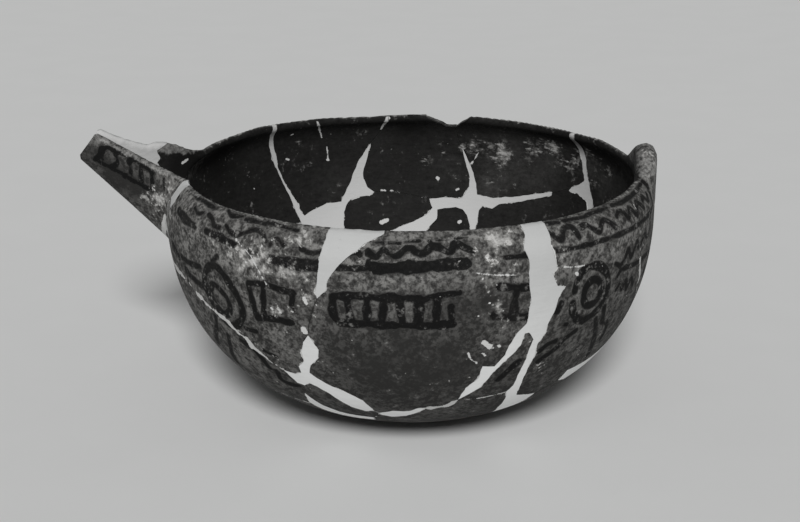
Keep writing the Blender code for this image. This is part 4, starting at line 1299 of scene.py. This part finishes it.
def mark_surface(piece, form, spout, skin):
    """Writes on each vertex what its material reads."""
    points = vertex_array(piece.data)
    inside = share_inside(points, skin)
    outside = inside < INNER_FROM
    edge, glue = distance_to_breaks(points, form)
    tone_outside = spots(points, skin["tones"]) + height_tone(points)
    marks = {
        "inside": inside,
        "edge": edge,
        "glue": glue,
        "paint": depth_in_strokes(points, skin["brush"]),
        "chip": depth_in_strokes(points, skin["chips"]),
        "worn": np.where(outside, spots(points, skin["wear_outside"]),
                         spots(points, skin["wear_inside"])),
        # Inside, the lighter tone near bearings 17 to 34 is painted light against the shade there.
        "tone": np.where(outside, tone_outside, spots(points, skin["tones_and_light_inside"])),
        "stain": spots(points, skin["stains"]),
        "faded": spots(points, skin["faded"]),
        "rub_and_highlight": rubbed_lips_and_crest_highlight(points, inside, form, spout),
    }
    for name, values in marks.items():
        attribute = piece.data.attributes.new(name, "FLOAT", "POINT")
        attribute.data.foreach_set("value", values.astype(np.float32))


def height_tone(points):
    """How much lighter the upper band is, and how much darker the foot."""
    heights = [height * MM for height, _ in TONE_BY_HEIGHT]
    return np.interp(points[:, 2], heights, [tone for _, tone in TONE_BY_HEIGHT])


def rubbed_lips_and_crest_highlight(points, inside, form, spout):
    """How pale the lips and the lug are rubbed, from 0 to 1; on the rim's crest partly a painted
    highlight.
    """
    heights = points[:, 2]
    # The crest of the rim is made pale: partly wear, partly a painted highlight.
    crest = smooth_step(1 - abs(2 * inside - 1), *CREST_TURN) * CREST_RUB_AND_HIGHLIGHT
    crest *= smooth_step(heights, *(form.height - depth for depth in CREST_DEPTH))
    below_lip = lip_height(points, form, spout) - heights
    on_spout = 1 - smooth_step(points[:, 0], *SPOUT_LIP_X)
    spout_lip = (1 - smooth_step(below_lip, *SPOUT_LIP_DEPTH)) * on_spout
    bearing = np.degrees(np.arctan2(points[:, 1], points[:, 0]))
    on_lug = smooth_step(heights, form.height - LUG_RISE[0], form.height + LUG_RISE[1])
    on_lug = on_lug * (abs(bearing) < LUG_DEGREES) * smooth_step(points[:, 0], *LUG_FACE_X)
    return np.maximum(np.maximum(crest, spout_lip), on_lug * LUG_RUB)


def spout_places(tree, rows):
    """Round places on both walls of the spout."""
    places = []
    for x, height, radius, strength in rows:
        for side in (-1, 1):
            hit = cast_on_spout(tree, beside_spout(x, height, side), side)
            if hit is not None:
                places.append((hit, radius, strength))
    return places


def vessel_pieces(scene):
    if VESSEL:
        return VESSEL["pieces"]
    form, spout, lug = scene.bowl_form, scene.spout_form, scene.lug_form
    vessel = whole_skin(form, spout, lug)
    tree = tree_of(vessel.data)
    brush = brush_samples(form, tree)
    chips = chip_samples(form, tree)
    refine_near(vessel, brush, ROUND_BRUSH, FINE_EDGE)
    refine_near(vessel, chips, ROUND_CHIPS, FINE_EDGE)
    refine_near(vessel, chips, CLOSE_TO_CHIPS, FINE_EDGE / 2)

    def placed(rows, inside=False):
        return [(point_on_bowl(form, bearing, height, inside), radius, strength)
                for bearing, height, radius, strength in rows]

    skin = {
        "inwards": face_inwards(vessel.data, form, spout),
        "tree": tree_of_points(vertex_array(vessel.data)),
        "brush": brush,
        "chips": chips,
        "wear_outside": placed(WEAR_OUTSIDE) + spout_places(tree, SPOUT_WEAR),
        "wear_inside": placed(WEAR_INSIDE, True),
        "tones": placed(TONES) + spout_places(tree, SPOUT_TONES),
        "tones_and_light_inside": placed(TONES_AND_LIGHT_INSIDE, True),
        "stains": placed(STAINS),
        "faded": placed(FADED),
    }
    pieces = named_pieces(broken_apart(vessel, form, spout))
    for name, piece in pieces.items():
        piece.name = name + "_finished"
        piece.data.name = piece.name
        mark_surface(piece, form, spout, skin)
    VESSEL["pieces"] = pieces
    return pieces


# Shader nodes

class Signal:
    """An output socket; arithmetic on it adds Math nodes."""

    def __init__(self, board, socket):
        self.board = board
        self.socket = socket

    def __add__(self, other):
        return self.board.maths("ADD", self, other)

    def __sub__(self, other):
        return self.board.maths("SUBTRACT", self, other)

    def __rsub__(self, other):
        return self.board.maths("SUBTRACT", other, self)

    def __mul__(self, other):
        return self.board.maths("MULTIPLY", self, other)

    def __pow__(self, other):
        return self.board.maths("POWER", self, other)

    __radd__ = __add__
    __rmul__ = __mul__

    def most(self, other):
        return self.board.maths("MAXIMUM", self, other)

    def held(self):
        """The same value, held between 0 and 1."""
        return self.board.maths("ADD", self, 0.0, clamp=True)

    def rising(self, low, high):
        """0 below low, 1 above high, and a smooth rise between."""
        return self.board.add("ShaderNodeMapRange", {"interpolation_type": "SMOOTHSTEP"},
                              {"Value": self, "From Min": low, "From Max": high}, "Result")


class Board:
    """A material's or a world's node tree."""

    def __init__(self, owner):
        owner.use_nodes = True
        self.tree = owner.node_tree
        self.tree.nodes.clear()

    def add(self, kind, settings, sockets, output=0):
        """Adds a node: its settings first, then the values or links of its sockets."""
        node = self.tree.nodes.new(kind)
        for name, value in settings.items():
            setattr(node, name, value)
        for name, value in sockets.items():
            if isinstance(value, Signal):
                self.tree.links.new(value.socket, node.inputs[name])
            else:
                node.inputs[name].default_value = value
        if output is None:
            return node
        return Signal(self, node.outputs[output])

    def maths(self, operation, one, two, clamp=False):
        return self.add("ShaderNodeMath", {"operation": operation, "use_clamp": clamp},
                        {0: one, 1: two})

    def place(self):
        """Coordinates on the object."""
        return self.add("ShaderNodeTexCoord", {}, {}, "Object")

    def mark(self, name):
        """A value that was written on the mesh."""
        return self.add("ShaderNodeAttribute", {"attribute_name": name}, {}, "Fac")

    def noise(self, place, size, detail=2.0, rough=0.5):
        """Noise with features of a size in metres, from about -1 to 1."""
        value = self.add("ShaderNodeTexNoise", {},
                         {"Vector": place, "Scale": NOISE_SPAN / size, "Detail": detail,
                          "Roughness": rough}, 0)
        return (value - 0.5) * NOISE_GAIN

    def blend(self, share, one, two):
        """Colour one where share is 0, colour two where it is 1."""
        return self.add("ShaderNodeMix", {"data_type": "RGBA"},
                        {MIX_SHARE: share, MIX_ONE: one, MIX_TWO: two}, MIX_RESULT)

    def stretched(self, place, scale, tilt=0.0):
        """Coordinates along which features grow by a scale on each axis, tilted about Y."""
        return self.add("ShaderNodeMapping", {"vector_type": "TEXTURE"},
                        {"Vector": place, "Rotation": (0.0, tilt, 0.0), "Scale": scale}, 0)

    def bump(self, height, distance):
        """A normal from a height; distance is what a height of 1 stands for, in metres."""
        return self.add("ShaderNodeBump", {},
                        {"Height": height, "Distance": distance, "Strength": 1.0}, 0)

    def finish(self, colour, roughness, normal, specular):
        shader = self.add("ShaderNodeBsdfPrincipled", {},
                          {"Base Color": colour, "Roughness": roughness, "Normal": normal,
                           "Specular IOR Level": specular}, None)
        output = self.add("ShaderNodeOutputMaterial", {}, {}, None)
        self.tree.links.new(shader.outputs[0], output.inputs["Surface"])


def rgba(shade):
    return (*shade[:3], 1.0)


def painted_clay(look):
    """Dark painted clay: mottled ground, brushwork, worn and chipped places, glued edges."""
    material = bpy.data.materials.new("painted clay")
    board = Board(material)
    place = board.place()
    broad = board.noise(place, *BROAD)
    cloudy = board.noise(place, *CLOUDY)
    small = board.noise(place, *SMALL)
    fine = board.noise(place, *FINE)
    turned = board.noise(board.stretched(place, TURNED_STRETCH), *TURNED)
    scratchy = board.noise(board.stretched(place, SCRATCH_STRETCH, SCRATCH_TILT), *SCRATCHY)
    dark_clay = rgba(look.dark_clay)
    light_clay = rgba(look.light_clay)
    bare_clay = rgba(look.bare_clay)

    inner = board.mark("inside").rising(0.50, 0.62)
    outer = 1 - inner
    worn = board.mark("worn")
    tone = board.mark("tone")

    # Ground
    peeled = (cloudy * 1.1 + small * 0.9 + fine * 0.3).rising(-0.35, 0.50) - 0.5
    grain = peeled * 0.15 + turned * 0.05 + small * 0.26 + fine * 0.30
    shade = tone * 0.24 + broad * 0.07 + grain * (0.95 + tone * 0.35) + 0.37
    ground = board.blend(shade.held() ** 1.6, dark_clay, light_clay)
    pits = (fine * 0.6 + small * 0.45 - tone * 0.15).rising(0.35, 0.70)
    ground = board.blend(pits * PIT_COVER, ground, dark_clay)

    # Brushwork, thinner here and there
    faded = board.mark("faded")
    ragged = board.mark("paint") + cloudy * 0.25 + small * 0.65 + fine * 0.40
    painted = ragged.rising(-0.35, 0.40)
    thin = cloudy * 0.6 + small * 0.8 + fine * 0.5 + faded * 0.5 + worn * 0.6
    painted = painted * (1 - thin.rising(0.40, 1.3) * 0.8) * (1 - faded * 0.4) * PAINT_COVER
    surface = board.blend(painted, ground, rgba(look.paint))

    # Wash of the inside, paler where it is thin and, near bearings 17 to 34, as painted light in
    # the shade
    streaks = board.noise(board.stretched(place, STREAK_STRETCH), *STREAKS)
    wash_grain = broad * 0.10 + turned * 0.10 + streaks * 0.22 + small * 0.20 + fine * 0.16
    wash_tone = (wash_grain * (tone * 0.8 + 0.3) + tone * 0.6 + 0.14).held()
    wash = board.blend(wash_tone, rgba(look.inner_paint), rgba(look.thin_wash_and_painted_light))
    surface = board.blend(inner, surface, wash)

    # Rubbed lips and lug, and on the rim's crest a pale line that is partly a painted highlight
    rub_and_highlight = board.mark("rub_and_highlight")
    rubbed_and_highlit = (rub_and_highlight + small * 0.25 + cloudy * 0.25 + fine * 0.20).rising(0.25, 0.95)
    spotted = (cloudy * 0.18 + small * 0.24 + fine * 0.22 + 0.38).held()
    pale = board.blend(spotted, dark_clay, bare_clay)
    surface = board.blend(rubbed_and_highlit * RUB_AND_HIGHLIGHT_COVER, surface, pale)

    # Worn places: a paler haze, bleached patches and flecks outside, and scrapes inside
    haze = (worn * 1.1 + cloudy * 0.5 + small * 0.6 + scratchy * 0.25 - 0.40).rising(0.0, 0.9)
    haze = haze * worn.rising(0.05, 0.4) * (outer * OUTER_HAZE + inner * INNER_HAZE)
    surface = board.blend(haze, surface, light_clay)
    bleached = (worn * 0.9 + cloudy * 0.7 + small * 0.6 + streaks * 0.3 - 0.72).rising(0.0, 0.8)
    bleached = bleached * worn.rising(0.1, 0.5) * outer
    surface = board.blend(bleached * BLEACH_COVER, surface, bare_clay)
    flecks = worn * 0.75 + small * 0.9 + fine * 0.8 + scratchy * 0.25 - 0.62
    flecks = flecks.rising(0.25, 0.6) * worn.rising(0.03, 0.35) * outer
    surface = board.blend(flecks * FLECK_COVER, surface, bare_clay)
    scraped = worn * 1.1 + streaks * 1.1 + cloudy * 0.5 + small * 0.25 + fine * 0.25 - 0.60
    scraped = scraped.rising(0.0, 1.1) * worn.rising(0.05, 0.4) * inner
    surface = board.blend(scraped * SCRAPE_COVER, surface, bare_clay)

    # Scattered specks of bare clay
    specks = (board.noise(place, *CLAY_SPECKS) + cloudy * 0.3 + tone * 0.10).rising(1.30, 1.60)
    surface = board.blend(specks * (0.20 + outer * 0.40), surface, bare_clay)

    # White chips and scratches
    chipped = (board.mark("chip") + small * 0.30 + fine * 0.25).rising(-0.15, 0.2)
    surface = board.blend(chipped * CHIP_COVER, surface, rgba(look.glue))

    # Broken edges: a dark hairline, with glue and plaster beside it
    edge = board.mark("edge")
    glue = board.mark("glue")
    hairline = 1 - (edge + fine * 0.08).rising(0.05, 0.35)
    surface = board.blend(hairline * HAIRLINE_COVER, surface, dark_clay)
    uneven = board.noise(place, *GLUE_PATCHES)
    reach = glue * (uneven * 1.8 + 1.15) + small * 0.40 + fine * 0.25 - 0.25
    smear = (reach - edge).rising(0.0, 0.25)
    surface = board.blend(smear * GLUE_COVER, surface, rgba(look.glue))

    rough = (small * 0.04 + flecks * 0.08 - inner * 0.08 + 0.84).held()
    relief = (turned * 0.04 + cloudy * 0.08 + small * 0.07 + fine * 0.05 + painted * 0.05
              - flecks * 0.25 - chipped * 0.3 - hairline * 0.5 - specks * 0.2 - pits * 0.12)
    board.finish(surface, rough, board.bump(relief, CLAY_BUMP), CLAY_SPECULAR)
    return material


def fill_plaster(look):
    """Smooth pale plaster with the faint drag of the knife, and dirt along its edges."""
    material = bpy.data.materials.new("fill plaster")
    board = Board(material)
    place = board.place()
    broad = board.noise(place, *PLASTER_BROAD)
    drag = board.noise(board.stretched(place, DRAG_STRETCH), *KNIFE_DRAG)
    cloudy = board.noise(place, *PLASTER_CLOUDY)
    small = board.noise(place, *PLASTER_SMALL)
    height = board.add("ShaderNodeSeparateXYZ", {}, {"Vector": place}, "Z")
    # Painted light: the plaster is made paler, and less dusty, towards the foot, to make up for the
    # shade that falls on the lower fills.
    low = 1 - height.rising(*PAINTED_LIGHT_HEIGHTS)
    plaster = board.blend(low, rgba(look.plaster), rgba(look.low_plaster_painted_light))
    dusty = ((1 - board.mark("edge").rising(0.0, 0.6)) * 0.22 + broad * 0.06 + drag * 0.06
             + small * 0.06 + 0.05).held()
    surface = board.blend(dusty * (1 - low * 0.6), plaster, rgba(look.dusty_plaster))
    # Painted light: the fills inside take their own colour, set for the light that reaches inside.
    inner = board.mark("inside").rising(0.55, 0.75)
    surface = board.blend(inner * INNER_FILL_COVER, surface, rgba(look.inside_plaster_painted_light))
    dirt = (board.mark("stain") + cloudy * 0.4 + small * 0.4).rising(0.7, 1.0)
    mottled = (small * 0.6 + cloudy * 0.4 + 0.5).held()
    surface = board.blend(dirt * (0.6 + mottled * 0.4), surface, rgba(look.stain))
    pits = board.noise(place, *PLASTER_PITS).rising(1.35, 1.6)
    relief = broad * 0.16 + drag * 0.12 + small * 0.05 - pits * 0.3
    board.finish(surface, PLASTER_ROUGHNESS, board.bump(relief, PLASTER_BUMP), PLASTER_SPECULAR)
    return material


# Operators

def finish_pieces(context, names, material):
    pieces = vessel_pieces(context.scene)
    for name in names:
        piece = pieces[name]
        mesh = piece.data
        mesh.materials.clear()
        mesh.materials.append(material)
        mesh.shade_smooth()
        mesh.set_sharp_from_angle(angle=SHARP_EDGE)
        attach(piece, "root")
        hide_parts(name)


class HANDLED_BOWL_OT_bowl_sherds(bpy.types.Operator):
    """Makes the sherds of the bowl, the lug among them, and finishes them as painted clay"""
    bl_idname = "handled_bowl.bowl_sherds"
    bl_label = "Bowl sherds"

    def execute(self, context):
        clay = painted_clay(context.scene.clay_look)
        names = [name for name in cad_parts
                 if name.startswith("sherd") and name != "sherd_spout"]
        finish_pieces(context, names, clay)
        return {"FINISHED"}


class HANDLED_BOWL_OT_spout_sherd(bpy.types.Operator):
    """Makes the sherd that is the spout's near wall and keel, and finishes it as painted clay"""
    bl_idname = "handled_bowl.spout_sherd"
    bl_label = "Spout sherd"

    def execute(self, context):
        clay = bpy.data.materials.get("painted clay") or painted_clay(context.scene.clay_look)
        finish_pieces(context, ["sherd_spout"], clay)
        return {"FINISHED"}


class HANDLED_BOWL_OT_plaster_fills(bpy.types.Operator):
    """Makes the plaster fills and finishes them as smooth pale plaster"""
    bl_idname = "handled_bowl.plaster_fills"
    bl_label = "Plaster fills"

    def execute(self, context):
        plaster = fill_plaster(context.scene.plaster_look)
        names = [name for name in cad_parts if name.startswith("fill")]
        finish_pieces(context, names, plaster)
        return {"FINISHED"}


class HANDLED_BOWL_OT_stage(bpy.types.Operator):
    """Makes the floor, the light and the camera"""
    bl_idname = "handled_bowl.stage"
    bl_label = "Stage"

    def execute(self, context):
        look = context.scene.stage_look
        make_floor(look)
        light_room(look)
        place_camera()
        context.scene.view_settings.view_transform = "Standard"
        return {"FINISHED"}


def make_floor(look):
    bm = bmesh.new()
    corners = [(-1, -1), (1, -1), (1, 1), (-1, 1)]
    bm.faces.new([bm.verts.new((x * FLOOR_HALF, y * FLOOR_HALF, -FLOOR_DROP))
                  for x, y in corners])
    floor = make_object("floor", bm)
    material = bpy.data.materials.new("pale floor")
    board = Board(material)
    place = board.place()
    mottle = (board.noise(place, *FLOOR_MOTTLE) * 0.5 + 0.5).held()
    paler = rgba([channel * FLOOR_PALER for channel in look.floor])
    surface = board.blend(mottle, rgba(look.floor), paler)
    board.finish(surface, FLOOR_ROUGHNESS, board.bump(mottle, FLOOR_BUMP), 0.0)
    floor.data.materials.append(material)


def light_room(look):
    world = bpy.data.worlds.new("studio")
    bpy.context.scene.world = world
    board = Board(world)
    path = board.add("ShaderNodeLightPath", {}, {}, None)
    camera_ray, glossy_ray, transmission_ray = (
        Signal(board, path.outputs[f"Is {kind} Ray"])
        for kind in ("Camera", "Glossy", "Transmission"))
    seen = camera_ray.most(glossy_ray).most(transmission_ray)
    strength = seen * (1 - look.room_light) + look.room_light
    colour = board.blend(seen, WHITE, rgba(look.backdrop))
    background = board.add("ShaderNodeBackground", {}, {"Color": colour, "Strength": strength},
                           None)
    output = board.add("ShaderNodeOutputWorld", {}, {}, None)
    board.tree.links.new(background.outputs[0], output.inputs["Surface"])
    lamp = bpy.data.lights.new("lamp in front", "SUN")
    lamp.energy = look.lamp_strength
    lamp.angle = math.radians(look.lamp_spread)
    holder = bpy.data.objects.new("lamp in front", lamp)
    holder.rotation_euler = (math.radians(90 - look.lamp_height), 0, 0)
    bpy.context.scene.collection.objects.link(holder)


def place_camera():
    camera = bpy.data.cameras.new("camera")
    camera.lens = CAMERA_LENS
    camera.sensor_width = CAMERA_SENSOR
    camera.clip_end = CAMERA_REACH
    holder = bpy.data.objects.new("camera", camera)
    holder.location = CAMERA_PLACE
    holder.rotation_euler = (math.radians(90 - CAMERA_DOWN), 0, 0)
    bpy.context.scene.collection.objects.link(holder)
    bpy.context.scene.camera = holder


class HANDLED_BOWL_PT_panel(bpy.types.Panel):
    """Lists the bowl's steps and what can be changed"""
    bl_idname = "HANDLED_BOWL_PT_panel"
    bl_label = "Handled bowl"
    bl_space_type = "VIEW_3D"
    bl_region_type = "UI"
    bl_category = "Bowl"

    def draw(self, context):
        for operator in OPERATORS:
            self.layout.operator(operator.bl_idname)
        for name, group in GROUPS.items():
            box = self.layout.box()
            box.label(text=name.replace("_", " ").capitalize())
            for key in group.__annotations__:
                box.prop(getattr(context.scene, name), key)


GROUPS = {
    "bowl_form": BowlForm,
    "spout_form": SpoutForm,
    "lug_form": LugForm,
    "clay_look": ClayLook,
    "plaster_look": PlasterLook,
    "stage_look": StageLook,
}
OPERATORS = [HANDLED_BOWL_OT_bowl_sherds, HANDLED_BOWL_OT_spout_sherd,
             HANDLED_BOWL_OT_plaster_fills, HANDLED_BOWL_OT_stage]


def register():
    for name, group in GROUPS.items():
        bpy.utils.register_class(group)
        setattr(bpy.types.Scene, name, bpy.props.PointerProperty(type=group))
    for entry in OPERATORS + [HANDLED_BOWL_PT_panel]:
        bpy.utils.register_class(entry)


def unregister():
    for entry in reversed(OPERATORS + [HANDLED_BOWL_PT_panel]):
        bpy.utils.unregister_class(entry)
    for name, group in reversed(GROUPS.items()):
        delattr(bpy.types.Scene, name)
        bpy.utils.unregister_class(group)


def main():
    register()
    bpy.ops.handled_bowl.bowl_sherds()
    bpy.ops.handled_bowl.spout_sherd()
    bpy.ops.handled_bowl.plaster_fills()
    bpy.ops.handled_bowl.stage()


if __name__ == "__main__":
    main()
